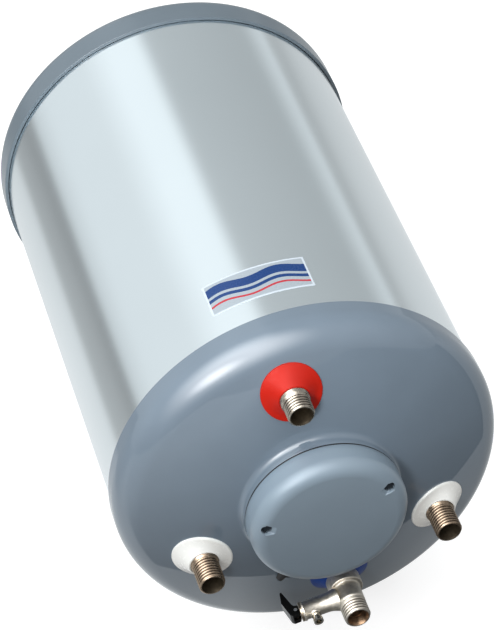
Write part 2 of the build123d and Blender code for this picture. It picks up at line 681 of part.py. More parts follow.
with BuildPart() as reset_button:
    rods([CUTOUT], BUTTON_R, CUTOUT_FACE - BUTTON_BITE, CUTOUT_FACE + BUTTON_REACH)
save(reset_button, "reset_button")

with BuildPart() as terminal_block:
    with BuildSketch(front_plane(BOSS_DEPTH)):
        with Locations((COVER_X, COVER_Z + BLOCK_CENTRE)):
            Rectangle(BLOCK_X, BLOCK_Z)
            with GridLocations(BLOCK_X / BLOCK_WAYS, BLOCK_Z, BLOCK_WAYS, 1):
                Circle(BLOCK_WAY_R, mode=Mode.SUBTRACT)
    extrude(amount=BLOCK_HEIGHT)
save(terminal_block, "terminal_block")

# Seal under the electrical cover
with BuildPart() as cover_seal:
    rods([COVER], COVER_R - GASKET_INSET, BOSS_DEPTH, COVER_BACK)
    rods([COVER], COVER_R - GASKET_INSET - GASKET_WIDTH, BOSS_DEPTH, COVER_BACK, Mode.SUBTRACT)
save(cover_seal, "cover_seal")


def drum_outline(shrink, back):
    """Half profile of the cover's drum, shrunk by a wall, closed along its axis."""
    side = COVER_R - shrink
    edge = COVER_EDGE - shrink
    face = COVER_FACE - shrink
    crown_r = ((side - edge) ** 2 + COVER_CROWN ** 2) / (2 * COVER_CROWN)
    half_r = (side - edge) / 2
    on_crown = (half_r, face + COVER_CROWN - crown_r + sqrt(crown_r ** 2 - half_r ** 2))
    on_edge = (side - edge + edge * cos(pi / 4), face - edge + edge * sin(pi / 4))

    def place(point):
        return point[0], front_y(point[1])

    Polyline(place((0, face + COVER_CROWN)), place((0, back)), place((side, back)),
             place((side, face - edge)))
    ThreePointArc(place((side, face - edge)), place(on_edge), place((side - edge, face)))
    ThreePointArc(place((side - edge, face)), place(on_crown), place((0, face + COVER_CROWN)))


def spin_drum(shrink, back, mode=Mode.ADD):
    """Revolve the cover's drum round its own axis into the current part."""
    with BuildSketch(lathe_plane(*COVER)) as profile:
        with BuildLine():
            drum_outline(shrink, back)
        make_face()
    revolve(profile.sketch, axis=lathe_axis(*COVER), mode=mode)


# Electrical cover: drum with a rounded edge, two screw pillars with wells, and the gland's hole
GLAND_OUT = (cos(radians(GLAND_ANGLE)), 0, sin(radians(GLAND_ANGLE)))
GLAND_CENTRE = (COVER_X, front_y(GLAND_DEPTH), COVER_H)
WELL_FLOOR = COVER_FACE - WELL_DEPTH
with BuildPart() as cover_cavity:
    spin_drum(COVER_WALL, COVER_BACK - SEAT_GAP)
    rods(SCREWS, PILLAR_R, BOSS_DEPTH, COVER_FACE + COVER_EDGE, Mode.SUBTRACT)

with BuildPart() as electrical_cover:
    spin_drum(0, COVER_BACK)
    rods(SCREWS, WELL_R, WELL_FLOOR, COVER_FACE + COVER_EDGE, Mode.SUBTRACT)
    inward = 1 - SCOOP_SHIFT / hypot(SCREW_X, SCREW_Z)
    with Locations(*[(COVER_X + side * SCREW_X * inward, front_y(COVER_FACE + SCOOP_LIFT),
                      COVER_H + SCREW_Z * inward) for side in (-1, 1)]):
        Sphere(SCOOP_R, mode=Mode.SUBTRACT)
    add(cover_cavity.part, mode=Mode.SUBTRACT)
    rods(SCREWS, SCREW_R + SCREW_CLEARANCE, BOSS_DEPTH, COVER_FACE, Mode.SUBTRACT)
    with BuildSketch(Plane(origin=GLAND_CENTRE, x_dir=(0, 1, 0), z_dir=GLAND_OUT)):
        Circle(GLAND_HOLE_R)
    extrude(amount=COVER_R + GLAND_SEAT, mode=Mode.SUBTRACT)
save(electrical_cover, "electrical_cover")

with BuildPart() as cover_screws:
    rods(SCREWS, SCREW_HEAD_R, WELL_FLOOR, WELL_FLOOR + SCREW_HEAD_HEIGHT)
    rods(SCREWS, SCREW_R, WELL_FLOOR - SCREW_LENGTH, WELL_FLOOR)
save(cover_screws, "cover_screws")

# Cable gland: soft plug in the cover's wall, its nose pointing outwards
GLAND_INNER = COVER_R - COVER_WALL - GLAND_SEAT
GLAND_OUTER = COVER_R + GLAND_SEAT
with BuildPart() as cable_gland:
    with BuildSketch(Plane(origin=GLAND_CENTRE, x_dir=(0, 1, 0), z_dir=(GLAND_OUT[2], 0, -GLAND_OUT[0]))):
        with BuildLine():
            Polyline((GLAND_BORE_R, GLAND_INNER - GLAND_FLANGE_SHEET),
                     (GLAND_FLANGE_R, GLAND_INNER - GLAND_FLANGE_SHEET), (GLAND_FLANGE_R, GLAND_INNER),
                     (GLAND_HOLE_R - RUNNING_FIT, GLAND_INNER), (GLAND_HOLE_R - RUNNING_FIT, GLAND_OUTER),
                     (GLAND_FLANGE_R, GLAND_OUTER), (GLAND_FLANGE_R, GLAND_OUTER + GLAND_FLANGE_SHEET),
                     (GLAND_HOLE_R, GLAND_OUTER + GLAND_FLANGE_SHEET), (GLAND_NOSE_R, COVER_R + GLAND_NOSE),
                     (GLAND_BORE_R, COVER_R + GLAND_NOSE), close=True)
        make_face()
    revolve(axis=Axis(GLAND_CENTRE, GLAND_OUT))
save(cable_gland, "cable_gland")


def arm_rod(radius, start, end, mode=Mode.ADD):
    """Round rod along the relief arm between two distances from the valve's axis."""
    across = Plane(origin=(COLD_X - start, ARM_Y, COLD_H), x_dir=(0, -1, 0), z_dir=(-1, 0, 0))
    with BuildSketch(across) as section:
        Circle(radius)
    extrude(section.sketch, amount=end - start, mode=mode)


# Valve body: female ring, round body with the relief arm, waist and male inlet thread
NOZZLE = (COLD_X - NOZZLE_X, COLD_Z)
with BuildPart() as valve_body:
    turned([(0, VALVE_BACK), (VALVE_RING_R - RING_EDGE, VALVE_BACK), (VALVE_RING_R, VALVE_BACK + RING_EDGE),
            (VALVE_RING_R, VALVE_WALL - RING_EDGE), (VALVE_RING_R - RING_EDGE, VALVE_WALL),
            (VALVE_BODY_R, VALVE_WALL), (VALVE_BODY_R, VALVE_NECK - VALVE_WAIST),
            (VALVE_WAIST_R, VALVE_NECK - VALVE_WAIST), (VALVE_WAIST_R, VALVE_NECK), (THREAD_R, VALVE_NECK),
            (THREAD_R, VALVE_END - THREAD_CHAMFER), (THREAD_R - THREAD_CHAMFER, VALVE_END),
            (0, VALVE_END)], *COLD)
    arm_rod(ARM_ROOT_R, 0, ARM_ROOT)
    arm_rod(ARM_R, 0, ARM_END)
    arm_rod(ARM_RING_R, ARM_END - ARM_RING, ARM_END)
    rods([NOZZLE], NOZZLE_PAD_R, ARM_LINE, ARM_LINE + ARM_R + NOZZLE_PAD)
    rods([COLD], THREAD_R + THREAD_FIT, VALVE_BACK, CAGE_BACK, Mode.SUBTRACT)
    rods([COLD], VALVE_BORE_R, VALVE_BACK, VALVE_BACK + SEAT_DEPTH, Mode.SUBTRACT)
    rods([COLD], SEAT_HOLE_R, VALVE_BACK, VALVE_END, Mode.SUBTRACT)
    rods([COLD], INLET_BORE_R, VALVE_BACK + SEAT_DEPTH + SEAT_THICK, VALVE_END, Mode.SUBTRACT)
    rods([COLD], INLET_MOUTH_R, VALVE_END - INLET_MOUTH, VALVE_END, Mode.SUBTRACT)
    arm_rod(ORIFICE_R, 0, ARM_END, Mode.SUBTRACT)
    arm_rod(ARM_BORE_R, ORIFICE_END, ARM_END, Mode.SUBTRACT)
    rods([NOZZLE], NOZZLE_SPIGOT_R + RUNNING_FIT, ARM_LINE, ARM_LINE + ARM_R + NOZZLE_PAD, Mode.SUBTRACT)
save(valve_body, "valve_body")

with BuildPart() as valve_washer:
    rods([COLD], THREAD_R - RUNNING_FIT, WASHER_BACK, CAGE_BACK)
    rods([COLD], WASHER_HOLE_R, WASHER_BACK, CAGE_BACK, Mode.SUBTRACT)
save(valve_washer, "valve_washer")

# Check valve in the cold inlet: cage, disc with its stem, the stem's guide and a spring
CHECK_FACE = VALVE_BACK + SEAT_DEPTH - SEAT_GAP
GUIDE_BACK = VALVE_BACK + SEAT_DEPTH + SEAT_THICK + GUIDE_INSET
with BuildPart() as check_cage:
    rods([COLD], VALVE_BORE_R - RUNNING_FIT, CAGE_BACK, CAGE_BACK + CAGE_SHEET)
    rods([COLD], CAGE_HOLE_R, CAGE_BACK, CAGE_BACK + CAGE_SHEET, Mode.SUBTRACT)
save(check_cage, "check_cage")

with BuildPart() as check_disc:
    rods([COLD], CHECK_R, CHECK_FACE - CHECK_SHEET, CHECK_FACE)
    rods([COLD], CHECK_STEM_R, CHECK_FACE, CHECK_FACE + CHECK_STEM)
save(check_disc, "check_disc")

with BuildPart() as check_guide:
    with BuildSketch(front_plane(GUIDE_BACK)):
        with Locations(COLD):
            Circle(GUIDE_HUB_R)
            with PolarLocations(INLET_BORE_R / 2, GUIDE_ARMS):
                Rectangle(INLET_BORE_R - 4 * RUNNING_FIT, GUIDE_ARM)
            Circle(CHECK_STEM_R + RUNNING_FIT, mode=Mode.SUBTRACT)
    extrude(amount=GUIDE_SHEET)
save(check_guide, "check_guide")


def spring_points(centre, along, side, radius, length, turns):
    """Corners of an open coil round a line, for a bent wire to follow."""
    up = Vector(*along).cross(Vector(*side))
    points = []
    for corner in range(turns * SPRING_CORNERS + 1):
        angle = 2 * pi * corner / SPRING_CORNERS
        rise = Vector(*along) * (length * corner / (turns * SPRING_CORNERS))
        swing = Vector(*side) * (radius * cos(angle)) + up * (radius * sin(angle))
        points.append(tuple(Vector(*centre) + rise + swing))
    return points


CHECK_SPRING = CAGE_BACK + CAGE_SHEET + CHECK_WIRE_R + SEAT_GAP
CHECK_SPRING_LENGTH = CHECK_FACE - CHECK_SHEET - CHECK_WIRE_R - SEAT_GAP - CHECK_SPRING
with BuildPart() as check_spring:
    round_wire(spring_points((COLD_X, front_y(CHECK_SPRING), COLD_H), (0, -1, 0), (1, 0, 0),
                             CHECK_COIL_R, CHECK_SPRING_LENGTH, CHECK_TURNS), CHECK_WIRE_R, 0, CHECK_COIL_R)
save(check_spring, "check_spring")

# Relief valve in the arm: soft disc, plunger with its stem and eye, spring and bonnet
DISC_BACK = ORIFICE_END + SEAT_GAP
PLUNGER_BACK = DISC_BACK + DISC_SHEET
PLUNGER_FACE = PLUNGER_BACK + PLUNGER_SHEET
PLUG_BACK = ARM_END - BONNET_PLUG
BONNET_FACE = ARM_END + BONNET_RIM
PIN_X = COLD_X - PIN_REACH
with BuildPart() as relief_disc:
    arm_rod(DISC_R, DISC_BACK, PLUNGER_BACK)
save(relief_disc, "relief_disc")

with BuildPart() as relief_plunger:
    arm_rod(PLUNGER_R, PLUNGER_BACK, PLUNGER_FACE)
    arm_rod(STEM_R, PLUNGER_FACE, PIN_REACH)
    with BuildSketch(Plane.XY.offset(COLD_H - EYE_WIDTH / 2)):
        with Locations((PIN_X, ARM_Y)):
            Circle(EYE_R)
    extrude(amount=EYE_WIDTH)
    with BuildSketch(Plane.XY.offset(COLD_H - EYE_WIDTH / 2)):
        with Locations((PIN_X, ARM_Y)):
            Circle(PIN_R + RUNNING_FIT)
    extrude(amount=EYE_WIDTH, mode=Mode.SUBTRACT)
save(relief_plunger, "relief_plunger")

RELIEF_SPRING = PLUNGER_FACE + RELIEF_WIRE_R + SEAT_GAP
RELIEF_SPRING_LENGTH = PLUG_BACK - RELIEF_WIRE_R - SEAT_GAP - RELIEF_SPRING
with BuildPart() as relief_spring:
    round_wire(spring_points((COLD_X - RELIEF_SPRING, ARM_Y, COLD_H), (-1, 0, 0), (0, 1, 0),
                             RELIEF_COIL_R, RELIEF_SPRING_LENGTH, RELIEF_TURNS),
               RELIEF_WIRE_R, 0, RELIEF_COIL_R)
save(relief_spring, "relief_spring")
print("springs: least gaps between turns",
      round(CHECK_SPRING_LENGTH / CHECK_TURNS - 2 * CHECK_WIRE_R, 2),
      round(RELIEF_SPRING_LENGTH / RELIEF_TURNS - 2 * RELIEF_WIRE_R, 2))

with BuildPart() as bonnet:
    arm_rod(ARM_BORE_R - RUNNING_FIT, PLUG_BACK, ARM_END)
    arm_rod(BONNET_R, ARM_END, BONNET_FACE)
    arm_rod(STEM_R + RUNNING_FIT, PLUG_BACK, BONNET_FACE, Mode.SUBTRACT)
save(bonnet, "bonnet")

# Lever: forked over the stem's eye, with a cam foot beside the bonnet, and its pin
with BuildPart() as lever:
    with BuildSketch(Plane.XY.offset(COLD_H - LEVER_WIDTH / 2)):
        with BuildLine():
            Polyline(*[(PIN_X + out, ARM_Y + back) for out, back in LEVER_OUTLINE], close=True)
        make_face()
        with Locations((PIN_X, ARM_Y)):
            Circle(PIN_R + RUNNING_FIT, mode=Mode.SUBTRACT)
    extrude(amount=LEVER_WIDTH)
    with BuildSketch(Plane.XY.offset(COLD_H - LEVER_SLOT / 2)):
        with Locations((PIN_X, ARM_Y - LEVER_SLOT_REACH)):
            Rectangle(2 * LEVER_SLOT_REACH, 4 * LEVER_SLOT_REACH)
    extrude(amount=LEVER_SLOT, mode=Mode.SUBTRACT)
save(lever, "lever")

with BuildPart() as lever_pin:
    with BuildSketch(Plane.XY.offset(COLD_H - LEVER_WIDTH / 2 - PIN_PROUD)):
        with Locations((PIN_X, ARM_Y)):
            Circle(PIN_R)
    extrude(amount=LEVER_WIDTH + 2 * PIN_PROUD)
save(lever_pin, "lever_pin")

# Drain nozzle pressed into the arm
NOZZLE_ROOT = ARM_LINE + ARM_BORE_R + SEAT_GAP
NOZZLE_FOOT = ARM_LINE + ARM_R + NOZZLE_PAD + RUNNING_FIT
NOZZLE_TIP = ARM_LINE + NOZZLE_REACH
with BuildPart() as drain_nozzle:
    turned([(NOZZLE_BORE_R, NOZZLE_ROOT), (NOZZLE_SPIGOT_R, NOZZLE_ROOT), (NOZZLE_SPIGOT_R, NOZZLE_FOOT),
            (NOZZLE_COLLAR_R, NOZZLE_FOOT), (NOZZLE_COLLAR_R, NOZZLE_FOOT + NOZZLE_COLLAR),
            (NOZZLE_NECK_R, NOZZLE_FOOT + NOZZLE_COLLAR), (NOZZLE_NECK_R, NOZZLE_TIP - NOZZLE_BEAD),
            (NOZZLE_BEAD_R, NOZZLE_TIP - NOZZLE_BEAD), (NOZZLE_BEAD_R, NOZZLE_TIP),
            (NOZZLE_BORE_R, NOZZLE_TIP)], *NOZZLE)
save(drain_nozzle, "drain_nozzle")

# Saddle brackets: one bent sheet each, an arch under the jacket on two feet
SADDLE_R = JACKET_R + SADDLE_GAP
SADDLE_UNDER = SADDLE_R + BRACKET_SHEET
LEG_OUT = LEG_X + BRACKET_SHEET
LEG_TOP = AXIS_Z - sqrt(SADDLE_UNDER ** 2 - LEG_X ** 2)
LEG_OUT_TOP = AXIS_Z - sqrt(SADDLE_R ** 2 - LEG_OUT ** 2)
for bracket_name, bracket_y in (("front_bracket", -BRACKET_Y), ("rear_bracket", BRACKET_Y)):
    with BuildPart() as bracket:
        with BuildSketch(Plane(origin=(0, bracket_y + BRACKET_WIDTH / 2, 0), x_dir=(1, 0, 0),
                               z_dir=(0, -1, 0))):
            with BuildLine():
                ThreePointArc((-LEG_X, LEG_TOP), (0, AXIS_Z - SADDLE_UNDER), (LEG_X, LEG_TOP))
                Polyline((LEG_X, LEG_TOP), (LEG_X, 0), (FOOT_END, 0), (FOOT_END, BRACKET_SHEET),
                         (LEG_OUT, BRACKET_SHEET), (LEG_OUT, LEG_OUT_TOP))
                ThreePointArc((LEG_OUT, LEG_OUT_TOP), (0, AXIS_Z - SADDLE_R), (-LEG_OUT, LEG_OUT_TOP))
                Polyline((-LEG_OUT, LEG_OUT_TOP), (-LEG_OUT, BRACKET_SHEET), (-FOOT_END, BRACKET_SHEET),
                         (-FOOT_END, 0), (-LEG_X, 0), (-LEG_X, LEG_TOP))
            make_face()
        extrude(amount=BRACKET_WIDTH)
        foot_corners = [edge for edge in bracket.edges().filter_by(Axis.Z)
                        if abs(abs(edge.center().X) - FOOT_END) < SEAT_GAP]
        fillet(foot_corners, FOOT_CORNER)
        with BuildSketch(Plane.XY):
            with Locations((-HOLE_X, bracket_y), (HOLE_X, bracket_y)):
                Circle(HOLE_R)
        extrude(amount=BRACKET_SHEET, mode=Mode.SUBTRACT)
        for side in (-1, 1):
            with BuildSketch(under_plane(bracket_y, side * BRACKET_BOLT_ANGLE, SADDLE_R - BRACKET_SHEET)):
                Circle(BRACKET_BOLT_R + RUNNING_FIT)
            extrude(amount=3 * BRACKET_SHEET, mode=Mode.SUBTRACT)
    save(bracket, bracket_name)

# Bolts that hold the jacket down on its brackets
with BuildPart() as bracket_bolts:
    for bolt_y, bolt_angle in BRACKET_BOLTS:
        with BuildSketch(under_plane(bolt_y, bolt_angle, SADDLE_UNDER + RUNNING_FIT)):
            Circle(BRACKET_BOLT_HEAD_R)
        extrude(amount=BRACKET_BOLT_HEAD)
        with BuildSketch(under_plane(bolt_y, bolt_angle, JACKET_R - BRACKET_BOLT_BITE)):
            Circle(BRACKET_BOLT_R)
        extrude(amount=SADDLE_UNDER + RUNNING_FIT - JACKET_R + BRACKET_BOLT_BITE)
save(bracket_bolts, "bracket_bolts")
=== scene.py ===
import json
from math import atan2, pi, radians, sqrt

import bmesh
import bpy
import numpy as np
from mathutils import Matrix


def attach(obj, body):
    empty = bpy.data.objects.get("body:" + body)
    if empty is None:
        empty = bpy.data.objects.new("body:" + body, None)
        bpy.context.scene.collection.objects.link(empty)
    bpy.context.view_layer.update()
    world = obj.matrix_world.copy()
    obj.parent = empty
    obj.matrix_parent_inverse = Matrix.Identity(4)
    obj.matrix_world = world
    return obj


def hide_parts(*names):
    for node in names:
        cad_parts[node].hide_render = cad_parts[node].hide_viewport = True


# Looks of a horizontal water heater for boats and campers. Metres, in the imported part's own frame.

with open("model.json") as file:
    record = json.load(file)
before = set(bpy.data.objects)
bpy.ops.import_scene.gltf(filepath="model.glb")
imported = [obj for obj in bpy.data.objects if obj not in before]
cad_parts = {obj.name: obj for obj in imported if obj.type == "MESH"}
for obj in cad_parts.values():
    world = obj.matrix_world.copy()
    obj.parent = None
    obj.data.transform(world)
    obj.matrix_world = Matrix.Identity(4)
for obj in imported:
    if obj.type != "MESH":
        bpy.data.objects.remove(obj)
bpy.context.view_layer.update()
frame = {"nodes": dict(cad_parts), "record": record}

MM = 0.001
TURN = 2 * pi

# Shapes taken over from the part, in millimetres; depths count outwards from a cap's seam
SEAM = 186.5
AXIS_Z = 165.0
JACKET_R = 150.0
CAP_R = 153.0
LIP_R = 150.4
LIP_DEPTH = 12.3
FRONT_DOME = 331.0
FRONT_CENTRE = -266.014
FRONT_KNUCKLE = 28.0
FRONT_STRAIGHT = 10.0
REAR_DOME = 500.0
REAR_KNUCKLE = 16.0
REAR_STRAIGHT = 17.8
COVER_Z = 10.0
COVER_R = 61.5
BOSS_DEPTH = 65.486
BOSS_BLEND = 5.0
ACCESS_R = 44.0
HOT = (0.0, 113.5)
COLD = (0.0, -84.0)
ENGINE_OUT = (-98.3, -20.0)
ENGINE_IN = (87.6, -53.2)
THREAD_R = 10.4775
THREAD_PITCH = 2.7
THREAD_DEPTH = 1.1
END_CHAMFER = 1.1
MOUTH_R = 8.6
PIPE_BORE_R = 7.75
SHOULDER_R = 11.3

# Walls and small rounds of the pieces made here, in millimetres
CAP_WALL = 3.0
RIM_ROUND = 0.8
JACKET_WALL = 1.0
JACKET_TUCK = 12.0
THREAD_RUN_IN = 1.2
THREAD_ROWS = 14


# ---- mesh helpers ----

def put(name, data):
    """New object in the scene for a mesh, a lamp or a camera."""
    thing = bpy.data.objects.new(name, data)
    bpy.context.scene.collection.objects.link(thing)
    return thing


def shell(grid):
    """Points and faces of a closed surface over a grid: the last column joins the first, the first and last row
    are poles or the same ring, points that fall together are welded, and faces point outwards."""
    rows, cols = grid.shape[:2]
    ids = np.arange(rows * cols).reshape(rows, cols)
    ids = np.hstack([ids, ids[:, :1]])
    quads = np.stack([ids[:-1, :-1], ids[1:, :-1], ids[1:, 1:], ids[:-1, 1:]], axis=-1).reshape(-1, 4)
    places, index = np.unique(np.round(grid.reshape(-1, 3), 5), axis=0, return_inverse=True)
    quads = index.reshape(-1)[quads]
    same = quads == np.roll(quads, -1, axis=1)
    full = quads[same.sum(axis=1) == 0]
    folded = same.sum(axis=1) == 1
    thirds = quads[folded][~same[folded]].reshape(-1, 3)
    tris = np.vstack([full[:, [0, 1, 2]], full[:, [0, 2, 3]], thirds])
    a, b, c = places[tris[:, 0]], places[tris[:, 1]], places[tris[:, 2]]
    if (a * np.cross(b, c)).sum() < 0:
        full = full[:, ::-1]
        thirds = thirds[:, ::-1]
    return places, full, thirds


def surface(name, *grids, sharp=40.0):
    """Piece made of one closed surface for each grid of points in millimetres."""
    places, faces, start = [], [], 0
    for grid in grids:
        points, full, thirds = shell(grid)
        places.append(points)
        faces += (full + start).tolist() + (thirds + start).tolist()
        start += len(points)
    mesh = bpy.data.meshes.new(name)
    mesh.from_pydata((np.vstack(places) * MM).tolist(), [], faces)
    mesh.polygons.foreach_set("use_smooth", np.ones(len(mesh.polygons), dtype=bool))
    mesh.set_sharp_from_angle(angle=radians(sharp))
    return put(name, mesh)


def circle(count):
    """Angles of a full turn, without the repeated end."""
    return np.arange(count) * (TURN / count)


def spin(profile, count, x, z, along="front"):
    """Profile of (radius, depth) rows turned round the line along Y through (x, z): radius times (cosine, sine)
    across the line, and the depth along it from the front cap's seam or the rear one's."""
    profile = np.asarray(profile, dtype=float)
    angle = circle(count)
    sign = -1.0 if along == "front" else 1.0
    radius = profile[:, :1]
    out = np.empty((len(profile), count, 3))
    out[..., 0] = x + radius * np.cos(angle)
    out[..., 1] = sign * (SEAM + profile[:, 1:2])
    out[..., 2] = AXIS_Z + z + radius * np.sin(angle)
    return out


def arc(centre, radius, start, end, steps):
    """Points of an arc between two angles: centre plus radius times (cosine, sine), ends included."""
    angle = np.linspace(start, end, steps)
    return np.column_stack([centre[0] + radius * np.cos(angle), centre[1] + radius * np.sin(angle)])


def run(start, end, steps):
    """Points of a straight line, ends included."""
    return np.linspace(np.asarray(start, float), np.asarray(end, float), steps)


def dome_depth(x, z):
    """Depth of the front cap's dome at (x, z) from the jacket's axis: its centre plus the square root of
    radius squared less x squared less z squared."""
    return FRONT_CENTRE + np.sqrt(FRONT_DOME ** 2 - x ** 2 - z ** 2)


def cap_edge(straight, knuckle, centre, steps):
    """Knuckle, straight wall and rounded rim of a cap, from the dome outwards and in under the lip."""
    tip = atan2(straight - centre, CAP_R - knuckle)
    return np.vstack([arc((CAP_R - knuckle, straight), knuckle, tip, 0.0, steps),
                      run((CAP_R, straight - 1.0), (CAP_R, 2 * RIM_ROUND), 6),
                      arc((CAP_R - RIM_ROUND, RIM_ROUND), RIM_ROUND, 0.0, -pi / 2, 6),
                      [(LIP_R, 0.0), (LIP_R, LIP_DEPTH), (LIP_R - 4.0, LIP_DEPTH + 1.0)]])


# ---- front cap: a polar grid round the boss ----

def front_cap_grid(count):
    """Rings run from the access hole over the boss, its fillet, the dome along rays from the boss's axis, and
    the knuckle and rim at the angle where each ray leaves the dome; inner rings close the shell."""
    angle = circle(count)
    cos_a, sin_a = np.cos(angle), np.sin(angle)
    edge = cap_edge(FRONT_STRAIGHT, FRONT_KNUCKLE, FRONT_CENTRE, 40)
    rings = []

    def skin_at(distance):
        """Depth of the dome on each ray, at a distance from the boss's axis."""
        return dome_depth(distance * cos_a, COVER_Z + distance * sin_a)

    def boss_ring(distance, depth):
        x = distance * cos_a
        z = COVER_Z + distance * sin_a
        rings.append(np.stack([x, -(SEAM + depth) + 0 * x, AXIS_Z + z], axis=-1))

    # Wall of the access hole, flat front and rounded edge of the boss
    for distance, depth in ((ACCESS_R, BOSS_DEPTH - CAP_WALL), (ACCESS_R, BOSS_DEPTH),
                            (COVER_R - 0.6, BOSS_DEPTH), (COVER_R - 0.15, BOSS_DEPTH - 0.15),
                            (COVER_R, BOSS_DEPTH - 0.5)):
        boss_ring(distance, depth)
    # Fillet: an arc whose middle lies one blend outside the boss, down to the foot where it touches the dome
    middle = COVER_R + BOSS_BLEND
    middle_x, middle_z = middle * cos_a, COVER_Z + middle * sin_a
    slope = -(middle_x * cos_a + middle_z * sin_a) / (skin_at(middle) - FRONT_CENTRE)
    lean = np.sqrt(1 + slope ** 2)
    foot = middle + BOSS_BLEND * slope / lean
    middle_depth = skin_at(foot) + BOSS_BLEND / lean
    end = np.arctan2(-1 / lean, slope / lean)
    for share in np.linspace(0, 1, 16):
        turn = -pi + share * (end + pi)
        boss_ring(middle + BOSS_BLEND * np.cos(turn), middle_depth + BOSS_BLEND * np.sin(turn))
    # Dome, out to where each ray reaches the knuckle
    knuckle_r = edge[0, 0]
    far = -COVER_Z * sin_a + np.sqrt(knuckle_r ** 2 - (COVER_Z * cos_a) ** 2)
    for share in np.linspace(0, 1, 72)[1:]:
        distance = foot + share * (far - foot)
        boss_ring(distance, skin_at(distance))
    around = np.arctan2(COVER_Z + far * sin_a, far * cos_a)
    for radius, depth in edge[1:]:
        rings.append(np.stack([radius * np.cos(around), -(SEAM + depth) + 0 * around,
                               AXIS_Z + radius * np.sin(around)], axis=-1))
    for share in (0.97, 0.75, 0.5, 0.25):
        distance = ACCESS_R + share * (far * 0.98 - ACCESS_R)
        boss_ring(distance, skin_at(distance) - CAP_WALL - 0.2)
    boss_ring(ACCESS_R, BOSS_DEPTH - CAP_WALL)
    return np.array(rings)


front_cap = surface("front_cap_skin", front_cap_grid(360))
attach(front_cap, "heater")
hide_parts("front_cap")


# ---- rear cap ----

def rear_cap_profile():
    """Dome, knuckle, straight wall and rim of the rear cap as (radius, depth) rows: two arcs that touch, a line
    and the rounded rim, closed by an inner arc."""
    centre = REAR_STRAIGHT - sqrt((REAR_DOME - REAR_KNUCKLE) ** 2 - (CAP_R - REAR_KNUCKLE) ** 2)
    tip = atan2(REAR_STRAIGHT - centre, CAP_R - REAR_KNUCKLE)
    dome = arc((0.0, centre), REAR_DOME, pi / 2, tip, 40)
    dome[0, 0] = 0.0
    inner = arc((0.0, centre), REAR_DOME - CAP_WALL, tip + 0.02, pi / 2, 8)
    inner[-1, 0] = 0.0
    return np.vstack([dome, cap_edge(REAR_STRAIGHT, REAR_KNUCKLE, centre, 30)[1:], inner])


rear_cap = surface("rear_cap_skin", spin(rear_cap_profile(), 360, 0, 0, "rear"))
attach(rear_cap, "heater")
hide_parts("rear_cap")


# ---- jacket ----

def jacket_profile():
    """(radius, depth) rows of a thin tube whose ends run in under both cap lips."""
    inner = JACKET_R - JACKET_WALL
    back = -2 * SEAM - JACKET_TUCK
    return np.vstack([run((JACKET_R, JACKET_TUCK), (JACKET_R, back), 60),
                      [(inner, back), (inner, JACKET_TUCK), (JACKET_R, JACKET_TUCK)]])


jacket = surface("jacket_sheet", spin(jacket_profile(), 512, 0, 0))
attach(jacket, "heater")
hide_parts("jacket")


# ---- collars round the ports ----

COLLAR_BASE_R = 23.4
COLLAR_TOP_R = 12.3
COLLAR_HEIGHT = 8.0
COLLAR_SINK = 1.5
COLLAR_BORE_R = 12.0
COLLAR_BOW = 0.55


def collar_grid(x, z, count=160):
    """Cone from a circle that lies on the tilted skin to a circle across the stub. Each ring of a rim is its
    centre plus radius times (cosine, sine) in its plane plus a lift; the side runs straight between the two rims
    and bows in by a half sine."""
    angle = circle(count)
    skin = float(dome_depth(x, z))
    out = np.array([x, FRONT_CENTRE - skin, z])
    out /= np.linalg.norm(out)
    side = np.cross([0.0, 0.0, 1.0], out)
    side /= np.linalg.norm(side)
    up = np.cross(out, side)
    centre = np.array([x, -(SEAM + skin), AXIS_Z + z])
    across = np.outer(np.cos(angle), [1, 0, 0]) + np.outer(np.sin(angle), [0, 0, 1])
    swing = np.arctan2(across @ up, across @ side)
    rim = np.outer(np.cos(swing), side) + np.outer(np.sin(swing), up)
    top = centre + np.array([0, -COLLAR_HEIGHT, 0])
    rings = []
    for radius, lift in ((COLLAR_BORE_R, -COLLAR_SINK), (COLLAR_BASE_R, -COLLAR_SINK), (COLLAR_BASE_R, 0.25),
                         (COLLAR_BASE_R - 0.12, 0.6), (COLLAR_BASE_R - 0.45, 0.85)):
        rings.append(centre + rim * radius + out * lift)
    foot = centre + rim * (COLLAR_BASE_R - 1.1) + out * 1.15
    head = top + across * (COLLAR_TOP_R + 0.5) + np.array([0, 0.45, 0])
    for share in np.linspace(0, 1, 24):
        bow = COLLAR_BOW * np.sin(pi * share)
        rings.append(foot + share * (head - foot) - out * bow)
    for radius, lift in ((COLLAR_TOP_R + 0.2, -0.05), (COLLAR_TOP_R - 0.1, 0.0), (SHOULDER_R + 0.15, 0.0),
                         (SHOULDER_R + 0.15, -6.0), (COLLAR_BORE_R, -COLLAR_HEIGHT)):
        rings.append(top + across * radius + np.array([0, -lift, 0]))
    rings.append(rings[0])
    return np.array(rings)


for node, place, slot in (("hot_collar", HOT, "red_plastic"), ("cold_collar", COLD, "blue_plastic"),
                          ("engine_out_collar", ENGINE_OUT, "white_plastic"),
                          ("engine_in_collar", ENGINE_IN, "white_plastic")):
    collar = surface(node + "_cone", collar_grid(*place))
    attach(collar, "heater")
    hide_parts(node)


# ---- threaded stubs ----

